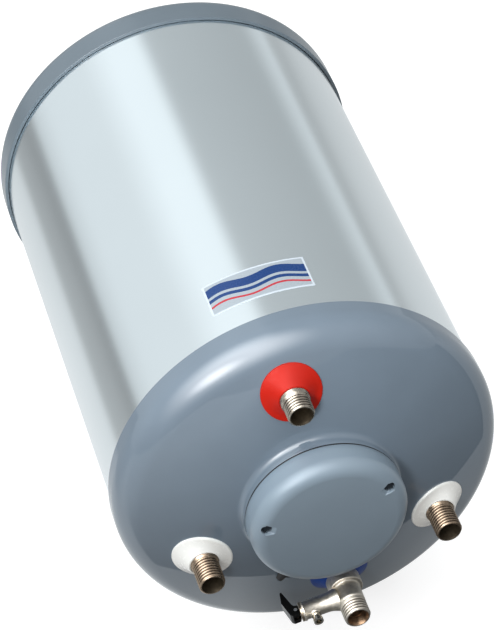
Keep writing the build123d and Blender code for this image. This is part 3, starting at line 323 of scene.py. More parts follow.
def threaded(x, z, head, start, end, tail, count=96):
    """Turned piece whose middle radius follows a helix: the thread's radius less a raised cosine of
    depth / pitch - angle / turn, cut by the end chamfer and run out at the start. Head and tail are
    (radius, depth) rows that close it round the back and through the bore."""
    rows = int((end - start) / THREAD_PITCH * THREAD_ROWS)
    depth = np.linspace(start, end, rows)[:, None]
    angle = circle(count)[None, :]
    phase = (depth / THREAD_PITCH - angle / TURN) % 1.0
    cut = THREAD_DEPTH * (0.5 - 0.5 * np.cos(TURN * phase)) * np.clip((depth - start) / THREAD_RUN_IN, 0, 1)
    radius = np.minimum(THREAD_R - cut, THREAD_R - END_CHAMFER + (end - depth) + 0 * angle)
    middle = np.empty((rows, count, 3))
    middle[..., 0] = x + radius * np.cos(angle)
    middle[..., 1] = -(SEAM + depth)
    middle[..., 2] = AXIS_Z + z + radius * np.sin(angle)
    return np.vstack([spin(head, count, x, z), middle, spin(tail, count, x, z)])


STUB_BACK = 12.0
BORE_RING = 20.0
# Node, place, where the thread starts and ends in front of the skin, and slot
STUBS = (("hot_outlet", HOT, 13.0, 27.0, "nickel_brass"),
         ("engine_outlet", ENGINE_OUT, 9.4, 31.0, "brass"),
         ("engine_inlet", ENGINE_IN, 9.4, 31.0, "brass"))
for node, place, shoulder_reach, reach, slot in STUBS:
    skin = float(dome_depth(*place))
    start, end = skin + shoulder_reach, skin + reach
    head = [(PIPE_BORE_R, STUB_BACK), (SHOULDER_R, STUB_BACK), (SHOULDER_R, start - 1.6),
            (SHOULDER_R - 0.3, start - 1.2), (THREAD_R - 0.3, start - 0.7), (THREAD_R - 0.3, start - 0.1)]
    tail = [(MOUTH_R, end), (PIPE_BORE_R, end - 2.0), (PIPE_BORE_R, BORE_RING), (PIPE_BORE_R, STUB_BACK)]
    stub = surface(node + "_stub", threaded(*place, head, start, end, tail), sharp=60.0)
    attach(stub, "heater")
    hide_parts(node)


# ---- relief valve on the cold inlet ----

VALVE_BACK = 62.446
VALVE_WALL = VALVE_BACK + 11.5
VALVE_NECK = VALVE_WALL + 17.5
VALVE_END = VALVE_NECK + 13.0
VALVE_RING_R = 13.5
VALVE_RING_ROUND = 0.9
VALVE_BODY_R = 10.6
VALVE_FILLET = 1.2
WAIST_R = 9.6
SOCKET_R = 10.53
CAGE_BORE_R = 7.5
CAGE_BACK = VALVE_BACK + 14.0
SEAT_BACK = VALVE_BACK + 25.5
SEAT_FRONT = SEAT_BACK + 2.6
SEAT_R = 4.5
INLET_R = 6.3
INLET_MOUTH_R = 6.9
INLET_STEP = VALVE_END - 7.55
VALVE_MOUTH_R = 8.5
ARM_LINE = VALVE_WALL + 6.2
ARM_R = 7.25
ARM_START = 8.6
ARM_END = 38.3
ARM_BORE_R = 5.3
NOZZLE_X = 29.1
PAD_BORE_R = 2.95


def valve_turning():
    """Ring, round body, waist and male thread as (radius, depth) rows turned round the cold inlet's line, closed
    through the inlet, the seat and the cage's bore."""
    ring = VALVE_RING_R - VALVE_RING_ROUND
    head = np.vstack([[(SOCKET_R, VALVE_BACK), (ring, VALVE_BACK)],
                      arc((ring, VALVE_BACK + VALVE_RING_ROUND), VALVE_RING_ROUND, -pi / 2, 0.0, 5),
                      arc((ring, VALVE_WALL - VALVE_RING_ROUND), VALVE_RING_ROUND, 0.0, pi / 2, 5),
                      arc((VALVE_BODY_R + VALVE_FILLET, VALVE_WALL + VALVE_FILLET), VALVE_FILLET,
                          -pi / 2, -pi, 5),
                      run((VALVE_BODY_R, VALVE_WALL + 1.8), (VALVE_BODY_R, VALVE_NECK - 2.4), 8),
                      [(VALVE_BODY_R - 0.3, VALVE_NECK - 2.0), (WAIST_R, VALVE_NECK - 1.5),
                       (WAIST_R, VALVE_NECK)]])
    tail = [(VALVE_MOUTH_R, VALVE_END), (INLET_MOUTH_R, VALVE_END - 2.2), (INLET_MOUTH_R, INLET_STEP),
            (INLET_R, INLET_STEP), (INLET_R, SEAT_FRONT), (SEAT_R, SEAT_FRONT), (SEAT_R, SEAT_BACK),
            (CAGE_BORE_R, SEAT_BACK), (CAGE_BORE_R, CAGE_BACK), (SOCKET_R, CAGE_BACK), (SOCKET_R, VALVE_BACK)]
    return threaded(*COLD, head, VALVE_NECK, VALVE_END, tail)


def arm_turning(count=96):
    """Relief arm: profile of (radius, reach) rows turned round a line along -X, swelling where it leaves the
    body, with a ring at its end and a bore for the plunger."""
    profile = np.vstack([[(ARM_BORE_R, ARM_START), (9.6, ARM_START), (9.5, 10.0)],
                         run((9.0, 11.0), (7.7, 15.0), 5),
                         [(7.4, 16.5), (ARM_R, 18.0), (ARM_R, ARM_END - 2.2), (7.6, ARM_END - 1.9)],
                         arc((7.4, ARM_END - 1.1), 0.7, -pi / 4, pi / 4, 5),
                         [(7.6, ARM_END), (ARM_BORE_R, ARM_END), (ARM_BORE_R, ARM_START)]])
    angle = circle(count)
    out = np.empty((len(profile), count, 3))
    out[..., 0] = COLD[0] - profile[:, 1:2]
    out[..., 1] = -(SEAM + ARM_LINE) + profile[:, :1] * np.cos(angle)
    out[..., 2] = AXIS_Z + COLD[1] + profile[:, :1] * np.sin(angle)
    return out


def nozzle_pad():
    """Round pad under the drain nozzle: a profile of (radius, depth) rows turned round the nozzle's line, open
    where the nozzle's spigot passes."""
    face = ARM_LINE + ARM_R
    root = face - 1.6
    return spin([(PAD_BORE_R, root), (4.6, root), (4.4, face - 0.1), (4.1, face + 0.2),
                 (PAD_BORE_R, face + 0.2), (PAD_BORE_R, root)], 64, COLD[0] - NOZZLE_X, COLD[1])


valve = surface("valve_casting", valve_turning(), arm_turning(), nozzle_pad(), sharp=50.0)
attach(valve, "heater")
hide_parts("valve_body")


# In metres, where the lever starts to narrow behind the arm's line, over what length, and its bevel; the taper
# is a share of its width
LEVER_TAPER_START = 0.004
LEVER_TAPER_LENGTH = 0.018
LEVER_TAPER = 0.4
LEVER_ROUND = 0.0007


def lever_handle():
    """The lever's own solid with its faces welded and its edges rounded by a bevel. Its width is multiplied by
    1 less the taper, which grows evenly from the taper's start towards the tip."""
    source = frame["nodes"]["lever"].data
    shape = bmesh.new()
    shape.from_mesh(source)
    bmesh.ops.remove_doubles(shape, verts=shape.verts, dist=1e-6)
    bmesh.ops.dissolve_limit(shape, angle_limit=radians(1.0), verts=shape.verts, edges=shape.edges)
    mesh = bpy.data.meshes.new("lever_handle")
    shape.to_mesh(mesh)
    shape.free()
    places = np.empty(len(mesh.vertices) * 3)
    mesh.vertices.foreach_get("co", places)
    places = places.reshape(-1, 3)
    middle = (AXIS_Z + COLD[1]) * MM
    back = places[:, 1] + (SEAM + ARM_LINE) * MM
    share = np.clip((back - LEVER_TAPER_START) / LEVER_TAPER_LENGTH, 0, 1)
    places[:, 2] = middle + (places[:, 2] - middle) * (1 - LEVER_TAPER * share)
    mesh.vertices.foreach_set("co", places.reshape(-1))
    piece = put("lever_handle", mesh)
    bevel = piece.modifiers.new("rounded edges", "BEVEL")
    bevel.width = LEVER_ROUND
    bevel.segments = 3
    bevel.limit_method = "ANGLE"
    bevel.angle_limit = radians(25.0)
    return piece


lever = lever_handle()
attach(lever, "lever")
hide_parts("lever")


# ---- electrical cover ----

COVER_BACK = BOSS_DEPTH + 1.0
COVER_FACE = COVER_BACK + 25.0
COVER_EDGE = 12.0
COVER_CROWN = 1.2
COVER_WALL = 2.5
WELL_X = COVER_R - 13.0
WELL_Z = 20.0
WELL_R = 3.9
WELL_DEPTH = 12.5
WELL_WALL = 2.2
SCOOP_DEPTH = 3.4
SCOOP_HALF = 3.9
SCOOP_EDGE = 5.1
SCOOP_TAPER = 0.22
# Closer rays either side of a well, in radians, and closer rings over the wells: start, end and spacing
WELL_SPAN = 0.14
WELL_RINGS = (40.6, 58.2, 0.3)
# Angle of the edge's quarter round at the last of those rings
EDGE_START = 0.805


def cover_height(distance, shrink=0.0):
    """Height of the drum over its back: a shallow parabola inside, a quarter round at the edge; the inner skin
    shrinks by the wall."""
    flat = COVER_R - COVER_EDGE
    crown = COVER_CROWN * (1 - np.clip(distance / flat, 0, 1) ** 2)
    over = np.clip((distance - flat) / (COVER_EDGE - shrink), 0, 1)
    return COVER_FACE - COVER_BACK - shrink + crown - (COVER_EDGE - shrink) * (1 - np.sqrt(1 - over ** 2))


def step(value, low, high):
    """Smooth 0 to 1 between two values: s * s * (3 - 2 * s) of the share s."""
    share = np.clip((value - low) / (high - low), 0, 1)
    return share * share * (3 - 2 * share)


def well_cut(x, z, grow):
    """How far the screw wells and their teardrop scoops go below the face: smooth steps of the distance from a
    well's axis, and for a scoop, which narrows towards the cover's middle, of the places along and across it.
    The inner skin goes round the wells alone, grown by their wall."""
    reach = np.abs(x) - WELL_X
    rise = z - WELL_Z
    well = WELL_DEPTH * (1 - step(np.hypot(reach, rise), WELL_R + grow - 0.25, WELL_R + grow + 0.35))
    if grow:
        return well
    inward = -(reach * WELL_X + rise * WELL_Z) / np.hypot(WELL_X, WELL_Z)
    across = np.abs(-reach * WELL_Z + rise * WELL_X) / np.hypot(WELL_X, WELL_Z)
    side = 1 - step(across, SCOOP_HALF - SCOOP_TAPER * inward, SCOOP_EDGE - SCOOP_TAPER * inward)
    return np.maximum(well, SCOOP_DEPTH * side * step(inward, -3.0, 0.0) * (1 - step(inward, 1.5, 8.5)))


def cover_grid():
    """Polar grid over the drum with more rings and rays where the wells are; the inner skin follows the outer
    one a wall below and closes the shell round the rim."""
    aim = np.arctan2(WELL_Z, WELL_X)
    angle = circle(360)
    near = [np.linspace(centre - WELL_SPAN, centre + WELL_SPAN, 90) for centre in (aim, pi - aim)]
    clear = WELL_SPAN + 0.005
    far = angle[(np.abs(angle - aim) > clear) & (np.abs(angle - pi + aim) > clear)]
    angle = np.sort(np.concatenate([far, *near]))
    flat = COVER_R - COVER_EDGE
    radii = np.concatenate([np.linspace(0, 40, 21), np.arange(*WELL_RINGS),
                            flat + COVER_EDGE * np.sin(np.linspace(EDGE_START, pi / 2, 14))])
    cos_a, sin_a = np.cos(angle), np.sin(angle)
    # The wells are cut down from halfway up the crown
    face = COVER_FACE - COVER_BACK + COVER_CROWN / 2
    rings = []

    def ring(distance, height):
        rings.append(np.stack([distance * cos_a, -(SEAM + COVER_BACK + height) + 0 * cos_a,
                               AXIS_Z + COVER_Z + distance * sin_a], axis=-1))

    for distance in radii:
        cut = well_cut(distance * cos_a, distance * sin_a, 0.0)
        ring(distance, np.minimum(cover_height(distance), face - cut))
    for height in (10.0, 5.0, 0.6):
        ring(COVER_R, height)
    ring(COVER_R - 0.4, 0.0)
    inner = COVER_R - COVER_WALL
    ring(inner, 0.0)
    for distance in np.concatenate([[inner], radii[::-3]]):
        if distance > inner:
            continue
        cut = well_cut(distance * cos_a, distance * sin_a, WELL_WALL)
        ring(distance, np.minimum(cover_height(distance, COVER_WALL), face - COVER_WALL - cut))
    rings[-1][:] = rings[-1].mean(axis=0)
    return np.array(rings)


cover = surface("cover_shell", cover_grid(), sharp=55.0)
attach(cover, "heater")
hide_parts("electrical_cover")


# ---- label on the jacket ----

# Outer and inner radius, the two ends round the jacket as arc lengths from its top, and the two along it
LABEL_R = 150.12
LABEL_INNER_R = JACKET_R - 0.1
LABEL_ARC = (-35.3, 45.6)
LABEL_Y = (-163.4, -129.8)


def label_sheet(rows=80, cols=24):
    """Thin closed sheet bent round the jacket: radius times the sine and cosine of arc length / radius, over a
    grid of arc length and place along the jacket, whose UV runs from 0 to 1 both ways. The inner side is the
    same grid just under the jacket's skin, and strips join the two borders."""
    u, v = np.meshgrid(np.linspace(0, 1, rows), np.linspace(0, 1, cols), indexing="ij")
    angle = (LABEL_ARC[0] + u * (LABEL_ARC[1] - LABEL_ARC[0])) / LABEL_R
    y = LABEL_Y[0] + v * (LABEL_Y[1] - LABEL_Y[0])
    sides = [np.stack([radius * np.sin(angle), y, AXIS_Z + radius * np.cos(angle)], axis=-1).reshape(-1, 3)
             for radius in (LABEL_R, LABEL_INNER_R)]
    ids = np.arange(rows * cols).reshape(rows, cols)
    quads = np.stack([ids[:-1, :-1], ids[1:, :-1], ids[1:, 1:], ids[:-1, 1:]], axis=-1).reshape(-1, 4)
    under = quads[:, ::-1] + rows * cols
    border = np.concatenate([ids[:-1, 0], ids[-1, :-1], ids[:0:-1, -1], ids[0, :0:-1]])
    after = np.roll(border, -1)
    strips = np.column_stack([after, border, border + rows * cols, after + rows * cols])
    faces = np.vstack([quads, under, strips])
    mesh = bpy.data.meshes.new("label")
    mesh.from_pydata((np.vstack(sides) * MM).tolist(), [], faces.tolist())
    layer = mesh.uv_layers.new(name="UVMap")
    corner = np.tile(np.column_stack([u.reshape(-1), v.reshape(-1)]), (2, 1))[faces.reshape(-1)]
    layer.data.foreach_set("uv", corner.reshape(-1))
    mesh.polygons.foreach_set("use_smooth", np.ones(len(faces), dtype=bool))
    mesh.set_sharp_from_angle(angle=radians(40.0))
    return put("label", mesh)


label = label_sheet()
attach(label, "heater")


# ---- materials ----

class Nodes:
    """Small builder for the node tree of a material or of the world."""

    def __init__(self, owner, out):
        owner.use_nodes = True
        self.owner = owner
        self.tree = owner.node_tree
        self.tree.nodes.clear()
        self.out = self.add(out)

    def add(self, kind, **values):
        node = self.tree.nodes.new(kind)
        for key, value in values.items():
            setattr(node, key, value)
        return node

    def join(self, source, target):
        self.tree.links.new(source, target)

    def feed(self, socket, value):
        """Gives a socket another node's output, a colour or a number."""
        if hasattr(value, "is_output"):
            self.join(value, socket)
        elif isinstance(value, tuple):
            socket.default_value = (*value, 1.0)
        else:
            socket.default_value = value

    def place(self, stretch=(1.0, 1.0, 1.0)):
        """Object coordinates, stretched along the axes."""
        coords = self.add("ShaderNodeTexCoord")
        mapping = self.add("ShaderNodeMapping")
        mapping.inputs["Scale"].default_value = stretch
        self.join(coords.outputs["Object"], mapping.inputs["Vector"])
        return mapping.outputs["Vector"]

    def axes(self, kind="Object"):
        """The three numbers of a texture coordinate."""
        coords = self.add("ShaderNodeTexCoord")
        split = self.add("ShaderNodeSeparateXYZ")
        self.join(coords.outputs[kind], split.inputs[0])
        return tuple(split.outputs)

    def noise(self, vector, scale):
        noise = self.add("ShaderNodeTexNoise")
        noise.inputs["Scale"].default_value = scale
        noise.inputs["Detail"].default_value = 3.0
        self.join(vector, noise.inputs["Vector"])
        return noise.outputs["Fac"]

    def math(self, kind, first, second=0.0):
        """Math node on two numbers or outputs."""
        node = self.add("ShaderNodeMath", operation=kind)
        self.feed(node.inputs[0], first)
        self.feed(node.inputs[1], second)
        return node.outputs[0]

    def ranged(self, value, source, target=(0.0, 1.0), **values):
        """A value taken evenly from one range to another."""
        node = self.add("ShaderNodeMapRange", **values)
        for name, number in zip(("From Min", "From Max", "To Min", "To Max"), (*source, *target)):
            node.inputs[name].default_value = number
        self.join(value, node.inputs["Value"])
        return node.outputs["Result"]

    def spread(self, noise, low, high):
        """The middle of a noise's range taken to another range."""
        return self.ranged(noise, (0.3, 0.7), (low, high))

    def ramp(self, source, low, high, stops):
        """Colour ramp between two values; a stop holds a grey level or a colour."""
        colors = self.add("ShaderNodeValToRGB")
        elements = colors.color_ramp.elements
        while len(elements) < len(stops):
            elements.new(0.5)
        for element, (position, level) in zip(elements, stops):
            element.position = (position - low) / (high - low)
            element.color = (*(level if isinstance(level, tuple) else (level,) * 3), 1.0)
        self.join(self.ranged(source, (low, high)), colors.inputs["Fac"])
        return colors.outputs["Color"]

    def blend(self, factor, first, second, kind="MIX"):
        """Mix of two colours by a 0..1 factor."""
        mix = self.add("ShaderNodeMix", data_type="RGBA", blend_type=kind)
        for index, value in ((0, factor), (6, first), (7, second)):
            self.feed(mix.inputs[index], value)
        return mix.outputs[2]

    def bump(self, height, distance):
        bump = self.add("ShaderNodeBump")
        bump.inputs["Distance"].default_value = distance
        self.join(height, bump.inputs["Height"])
        return bump.outputs["Normal"]

    def solid(self, color, grain, rough, spread, bump, metallic=0.0, ior=1.5):
        """The material, from its colour and one grain noise that drives both its roughness and its bump."""
        shader = self.add("ShaderNodeBsdfPrincipled")
        self.join(color, shader.inputs["Base Color"])
        self.join(self.spread(grain, rough - spread, rough + spread), shader.inputs["Roughness"])
        self.join(self.bump(grain, bump), shader.inputs["Normal"])
        shader.inputs["Metallic"].default_value = metallic
        shader.inputs["IOR"].default_value = ior
        self.join(shader.outputs["BSDF"], self.out.inputs["Surface"])
        return self.owner

    def light(self, kind, color, strength=1.0):
        """Emission or Background node of a colour and a strength."""
        node = self.add(kind)
        self.feed(node.inputs["Color"], color)
        self.feed(node.inputs["Strength"], strength)
        return node.outputs[0]

    def by_ray(self, camera, glossy, other):
        """Joins one shader for camera rays, one for glossy rays and one for the rest to the output."""
        path = self.add("ShaderNodeLightPath")
        shader = other
        for ray, seen in (("Is Glossy Ray", glossy), ("Is Camera Ray", camera)):
            mix = self.add("ShaderNodeMixShader")
            self.join(path.outputs[ray], mix.inputs["Fac"])
            self.join(shader, mix.inputs[1])
            self.join(seen, mix.inputs[2])
            shader = mix.outputs[0]
        self.join(shader, self.out.inputs["Surface"])


def material(name):
    """Node builder for a new material."""
    return Nodes(bpy.data.materials.new(name), "ShaderNodeOutputMaterial")


def finish(name, color, metallic=0.0, rough=0.3, rough_spread=0.05, ior=1.5, tone=0.05, scale=40.0,
           bump_scale=300.0, bump=0.00002, stretch=(1.0, 1.0, 1.0)):
    """Surface with a slow change of tone either side of its colour, an uneven gloss and a fine bump."""
    tree = material(name)
    dark = tuple(c * (1 - tone) for c in color)
    light = tuple(min(c * (1 + tone), 1.0) for c in color)
    cloud = tree.spread(tree.noise(tree.place(), scale), 0.0, 1.0)
    grain = tree.noise(tree.place(stretch), bump_scale)
    return tree.solid(tree.blend(cloud, dark, light), grain, rough, rough_spread, bump, metallic, ior)


def rgb(red, green, blue):
    """Linear colour of an sRGB colour in 0..255."""
    return tuple(((c / 255 + 0.055) / 1.055) ** 2.4 if c > 10 else c / 3295 for c in (red, green, blue))


finishes = {
    "jacket_steel": finish("satin stainless jacket", (0.78, 0.83, 0.85), 1.0, 0.17, 0.02, tone=0.015, scale=6.0,
                           bump_scale=1.0, bump=0.000002, stretch=(18.0, 2600.0, 18.0)),
    "cap_plastic": finish("glossy blue-grey moulding", rgb(104, 118, 131), 0.0, 0.035, 0.01, ior=1.6, tone=0.03,
                          scale=25.0, bump_scale=420.0, bump=0.000003),
    "tank_steel": finish("pickled stainless tank", (0.62, 0.63, 0.64), 1.0, 0.38, 0.08),
    "foam": finish("rigid insulation foam", (0.86, 0.76, 0.48), 0.0, 0.9, 0.05, tone=0.1, scale=60.0,
                   bump=0.0004),
    "nickel_brass": finish("nickel-plated brass", (0.70, 0.66, 0.59), 1.0, 0.22, 0.08, tone=0.12, scale=200.0,
                           bump_scale=900.0, bump=0.00002),
    "brass": finish("bronzed brass", (0.40, 0.33, 0.25), 1.0, 0.32, 0.1, tone=0.3, scale=300.0,
                    bump_scale=900.0, bump=0.00003),
    "zinc_steel": finish("zinc-plated steel", (0.70, 0.71, 0.72), 1.0, 0.35, 0.08, tone=0.08, scale=90.0),
    "red_plastic": finish("red moulding", rgb(170, 26, 12), 0.0, 0.45, 0.05, ior=1.33, tone=0.04),
    "blue_plastic": finish("blue moulding", rgb(8, 54, 128), 0.0, 0.5, 0.05, ior=1.35, tone=0.04),
    "white_plastic": finish("white moulding", rgb(242, 244, 241), 0.0, 0.25, 0.05, tone=0.02),
    "dip_plastic": finish("natural plastic", rgb(226, 224, 212), 0.0, 0.4, 0.05),
    "black_plastic": finish("black lever moulding", rgb(9, 9, 9), 0.0, 0.22, 0.05, ior=1.3, tone=0.2),
    "black_rubber": finish("black rubber", rgb(24, 24, 25), 0.0, 0.6, 0.08, tone=0.2),
    "element_steel": finish("element sheath", (0.30, 0.29, 0.27), 1.0, 0.45, 0.1, tone=0.1),
    "magnesium": finish("magnesium rod", (0.50, 0.50, 0.48), 1.0, 0.55, 0.1, tone=0.1),
    "spring_steel": finish("spring wire", (0.60, 0.61, 0.63), 1.0, 0.25, 0.05),
}
# Painted shade: a dark warm colour deep in the stubs' bores, where shade falls
bore_finish = finish("dull pipe bore", rgb(58, 50, 38), 0.6, 0.6, 0.1, tone=0.3, scale=200.0)
cover_finish = finish("satin blue-grey moulding", rgb(124, 140, 153), 0.0, 0.38, 0.04, ior=1.6, tone=0.03,
                      scale=25.0, bump_scale=700.0, bump=0.00001)
# The valve's mouth: the warm brown of its brass inner parts, darkened by painted shade
valve_bore_finish = finish("warm valve bore", (0.20, 0.13, 0.08), 0.8, 0.4, 0.1, tone=0.5, scale=300.0)
# Painted shade: a darker copy of the caps' blue-grey moulding for the rear cap, which the light from above would
# show too bright
rear_finish = finish("rear blue-grey moulding", rgb(100, 112, 121), 0.0, 0.2, 0.02, ior=1.4, tone=0.03,
                     scale=25.0, bump_scale=420.0, bump=0.000003)
# Painted shade: dark grey-blue deep in the cover's screw wells, standing in for the shade inside them
well_finish = finish("shaded screw well", rgb(46, 52, 58), 0.0, 0.6, 0.05, ior=1.3, tone=0.1)

LABEL_BORDER = rgb(186, 197, 206)
LABEL_GROUND = rgb(150, 160, 168)
LABEL_INK = rgb(2, 50, 108)
# Printed bands: the lower and the upper edge as shares of the label's height, and ink
LABEL_BANDS = [(0.56, 0.82, LABEL_INK), (0.38, 0.48, LABEL_INK), (0.21, 0.27, rgb(170, 44, 56))]
# The bands' wave: radians over the label's length, and swing as a share of its height
LABEL_WAVE = 11.0
LABEL_SWING = 0.06


def label_finish():
    """Printed sheet: a pale border round a grey ground, with two blue bands and a thin red one that wave
    together. A band lies where the height less a sine of the place along the label is between its two edges."""
    tree = material("printed label")
    u, v, _ = tree.axes("UV")

    def within(value, low, high):
        return tree.math("MULTIPLY", tree.math("GREATER_THAN", value, low), tree.math("LESS_THAN", value, high))

    wave = tree.math("MULTIPLY", tree.math("SINE", tree.math("MULTIPLY", u, LABEL_WAVE)), LABEL_SWING)
    lifted = tree.math("SUBTRACT", v, wave)
    color = LABEL_GROUND
    for low, high, ink in LABEL_BANDS:
        color = tree.blend(within(lifted, low, high), color, ink)
    inside = tree.math("MULTIPLY", within(u, 0.018, 0.982), within(v, 0.045, 0.955))
    color = tree.blend(inside, LABEL_BORDER, color)
    return tree.solid(color, tree.noise(tree.place(), 900.0), 0.27, 0.05, 0.000005)


def dress(piece, look):
    """Gives a piece one material in place of any it has."""
    piece.data.materials.clear()
    piece.data.materials.append(look)


def line_bore(piece, x, z, radius, start, lining=bore_finish):
    """Gives the faces deep in a bore a second material, a dark colour painted there as shade: those whose centre
    is within the radius of the line along Y through (x, z), and further in than the depth where the painted
    shade starts."""
    if lining.name not in piece.data.materials:
        piece.data.materials.append(lining)
    faces = len(piece.data.polygons)
    centre = np.empty(faces * 3)
    piece.data.polygons.foreach_get("center", centre)
    centre = centre.reshape(-1, 3) / MM
    off_line = np.hypot(centre[:, 0] - x, centre[:, 2] - AXIS_Z - z)
    index = np.empty(faces, dtype=np.int32)
    piece.data.polygons.foreach_get("material_index", index)
    index[(off_line < radius) & (centre[:, 1] > -(SEAM + start))] = 1
    piece.data.polygons.foreach_set("material_index", index)


def thread_finish(name, x, z, start, end, ridge, root, rough):
    """Metal whose tone follows the thread between two depths: its own mottled colour on the ridges, and painted
    shade dark in the roots. The helix is worked out from Object coordinates as the thread's surface is, as
    depth / pitch - angle / turn, whose fraction is one half in a root."""
    tree = material(name)
    at_x, at_y, at_z = tree.axes()
    depth = tree.math("SUBTRACT", tree.math("MULTIPLY", at_y, -1 / MM), SEAM)
    right = tree.math("SUBTRACT", at_x, x * MM)
    above = tree.math("SUBTRACT", at_z, (AXIS_Z + z) * MM)
    turn = tree.math("DIVIDE", tree.math("ARCTAN2", above, right), TURN)
    phase = tree.math("FRACT", tree.math("SUBTRACT", tree.math("DIVIDE", depth, THREAD_PITCH), turn))
    from_root = tree.math("ABSOLUTE", tree.math("SUBTRACT", phase, 0.5))
    shade = tree.ramp(from_root, 0.0, 0.5, [(0.0, 1.0), (0.16, 0.9), (0.3, 0.0), (0.5, 0.0)])
    cut = tree.math("MULTIPLY", tree.math("GREATER_THAN", depth, start + THREAD_RUN_IN / 2),
                    tree.math("LESS_THAN", depth, end - THREAD_DEPTH))
    cloud = tree.spread(tree.noise(tree.place(), 300.0), 0.0, 1.0)
    worn = tree.blend(cloud, tuple(c * 0.8 for c in ridge), tuple(c * 1.15 for c in ridge))
    color = tree.blend(tree.math("MULTIPLY", shade, cut), worn, root)
    return tree.solid(color, tree.noise(tree.place(), 900.0), rough, 0.08, 0.00002, 1.0)


# Colours on the ridges and in the roots of a thread, where the dark root colour is painted shade, and roughness
THREAD_LOOKS = {"nickel_brass": ((0.44, 0.40, 0.34), (0.04, 0.035, 0.028), 0.26),
                "brass": ((0.34, 0.26, 0.19), (0.035, 0.022, 0.014), 0.3)}
# Ridge colour, painted shade in the thread's roots, and roughness of the valve's casting
CASTING_LOOK = ((0.64, 0.60, 0.53), (0.12, 0.10, 0.08), 0.45)

dressed = {"front_cap_skin": "cap_plastic", "jacket_sheet": "jacket_steel", "lever_handle": "black_plastic",
           "hot_collar_cone": "red_plastic", "cold_collar_cone": "blue_plastic",
           "engine_out_collar_cone": "white_plastic", "engine_in_collar_cone": "white_plastic"}
for name, slot in dressed.items():
    dress(bpy.data.objects[name], finishes[slot])
dress(cover, cover_finish)
dress(rear_cap, rear_finish)
dress(valve, thread_finish("nickel casting", *COLD, VALVE_NECK, VALVE_END, *CASTING_LOOK))
dress(label, label_finish())
for subpart in frame["record"]["subparts"]:
    for held in frame["nodes"][subpart["node"]].material_slots:
        held.material = finishes[subpart["material_slot"]]
for held in frame["nodes"]["drain_nozzle"].material_slots:
    held.material = finishes["nickel_brass"]
for node, place, shoulder_reach, reach, slot in STUBS:
    stub = bpy.data.objects[node + "_stub"]
    skin = float(dome_depth(*place))
    dress(stub, thread_finish("threaded " + node.replace("_", " "), *place, skin + shoulder_reach, skin + reach,
                              *THREAD_LOOKS[slot]))
    # Painted shade deep in the stub's bore
    line_bore(stub, *place, MOUTH_R, skin + reach - 0.3)
# Painted shade deep in the valve's mouth, over its warm brass colour
line_bore(valve, *COLD, VALVE_MOUTH_R, VALVE_END - 0.2, valve_bore_finish)
# Painted shade deep in both screw wells of the cover
for side in (-1, 1):
    line_bore(cover, side * WELL_X, COVER_Z + WELL_Z, WELL_R + 0.4, COVER_FACE - 3.0, well_finish)


# ---- floor, light and camera ----

FLOOR_HALF = 12.0
# What the heater's shiny faces mirror of the floor, by x: left of the table, the table, and right of it
TABLE = [(-0.55, 0.55), (-0.47, 0.90), (0.19, 0.95), (0.27, 0.80)]
# Share of its level that the table loses in a metre towards the back
TABLE_FALL = 0.2
TABLE_FRONT = -0.278
# The floor in front of the table's edge, by x: light on the left and dark on the right
FRONT = [(-0.5, 0.9), (0.0, 0.1)]
# The table under the heater, by x: light on the left, a dark patch painted as the heater's shadow under its
# front and valve, and a middling right
UNDER = [(-0.10, 0.9), (-0.04, 0.25), (0.03, 0.25), (0.10, 0.5)]
UNDER_TOP = 1.2
TABLE_TINT = (0.94, 0.98, 1.0)


def floor_square():
    """Flat square at height 0 round the origin."""
    mesh = bpy.data.meshes.new("studio_floor")
    corners = np.array([(-1, -1, 0), (1, -1, 0), (1, 1, 0), (-1, 1, 0)]) * FLOOR_HALF
    mesh.from_pydata(corners.tolist(), [], [(0, 1, 2, 3)])
    return put("studio_floor", mesh)


def floor_finish():
    """Pale floor. The camera sees a lit grey that glows a little. Glossy rays see a table top, bright under and
    behind the heater and fading with distance, with a painted shadow under the heater's middle, that ends in
    front of it. Other rays see one warm level."""
    tree = material("pale studio floor")
    diffuse = tree.add("ShaderNodeBsdfDiffuse")
    diffuse.inputs["Color"].default_value = (0.4, 0.4, 0.4, 1.0)
    seen = tree.add("ShaderNodeAddShader")
    tree.join(diffuse.outputs[0], seen.inputs[0])
    tree.join(tree.light("ShaderNodeEmission", (1.0, 1.0, 1.0), 0.75), seen.inputs[1])
    x, y, _ = tree.axes()
    away = tree.math("MINIMUM", tree.math("MAXIMUM", y, 0.0), 1.8)
    kept = tree.math("SUBTRACT", 1.0, tree.math("MULTIPLY", TABLE_FALL, away))
    behind = tree.math("MULTIPLY", tree.ramp(x, -1.0, 1.0, TABLE), kept)
    front = tree.ramp(x, -1.0, 1.0, FRONT)
    # Painted shadow of the heater on the table under it, seen in reflections
    under = tree.math("MULTIPLY", UNDER_TOP, tree.ramp(x, -0.3, 0.3, UNDER))
    rearward = tree.ramp(y, -0.3, 0.1, [(-0.20, 0.0), (0.04, 1.0)])
    on_table = tree.math("GREATER_THAN", y, TABLE_FRONT)
    level = tree.blend(on_table, front, tree.blend(rearward, under, behind))
    table = tree.blend(1.0, level, TABLE_TINT, "MULTIPLY")
    tree.by_ray(seen.outputs[0], tree.light("ShaderNodeEmission", table),
                tree.light("ShaderNodeEmission", (0.22, 0.19, 0.17)))
    return tree.owner


floor = floor_square()
dress(floor, floor_finish())


# What the heater's sides mirror, by the angle from straight up round its axis: a light wall on the left, a strip
# light near the top, a dark wall on the right and a lighter one low on the right
BANDS = [(-100, 0.65), (-75, 0.90), (-40, 0.90), (-20, 1.10), (0, 1.10), (8, 0.60), (75, 0.50), (90, 0.85)]
BAND_TOP = 1.2
BAND_COOL = 0.06
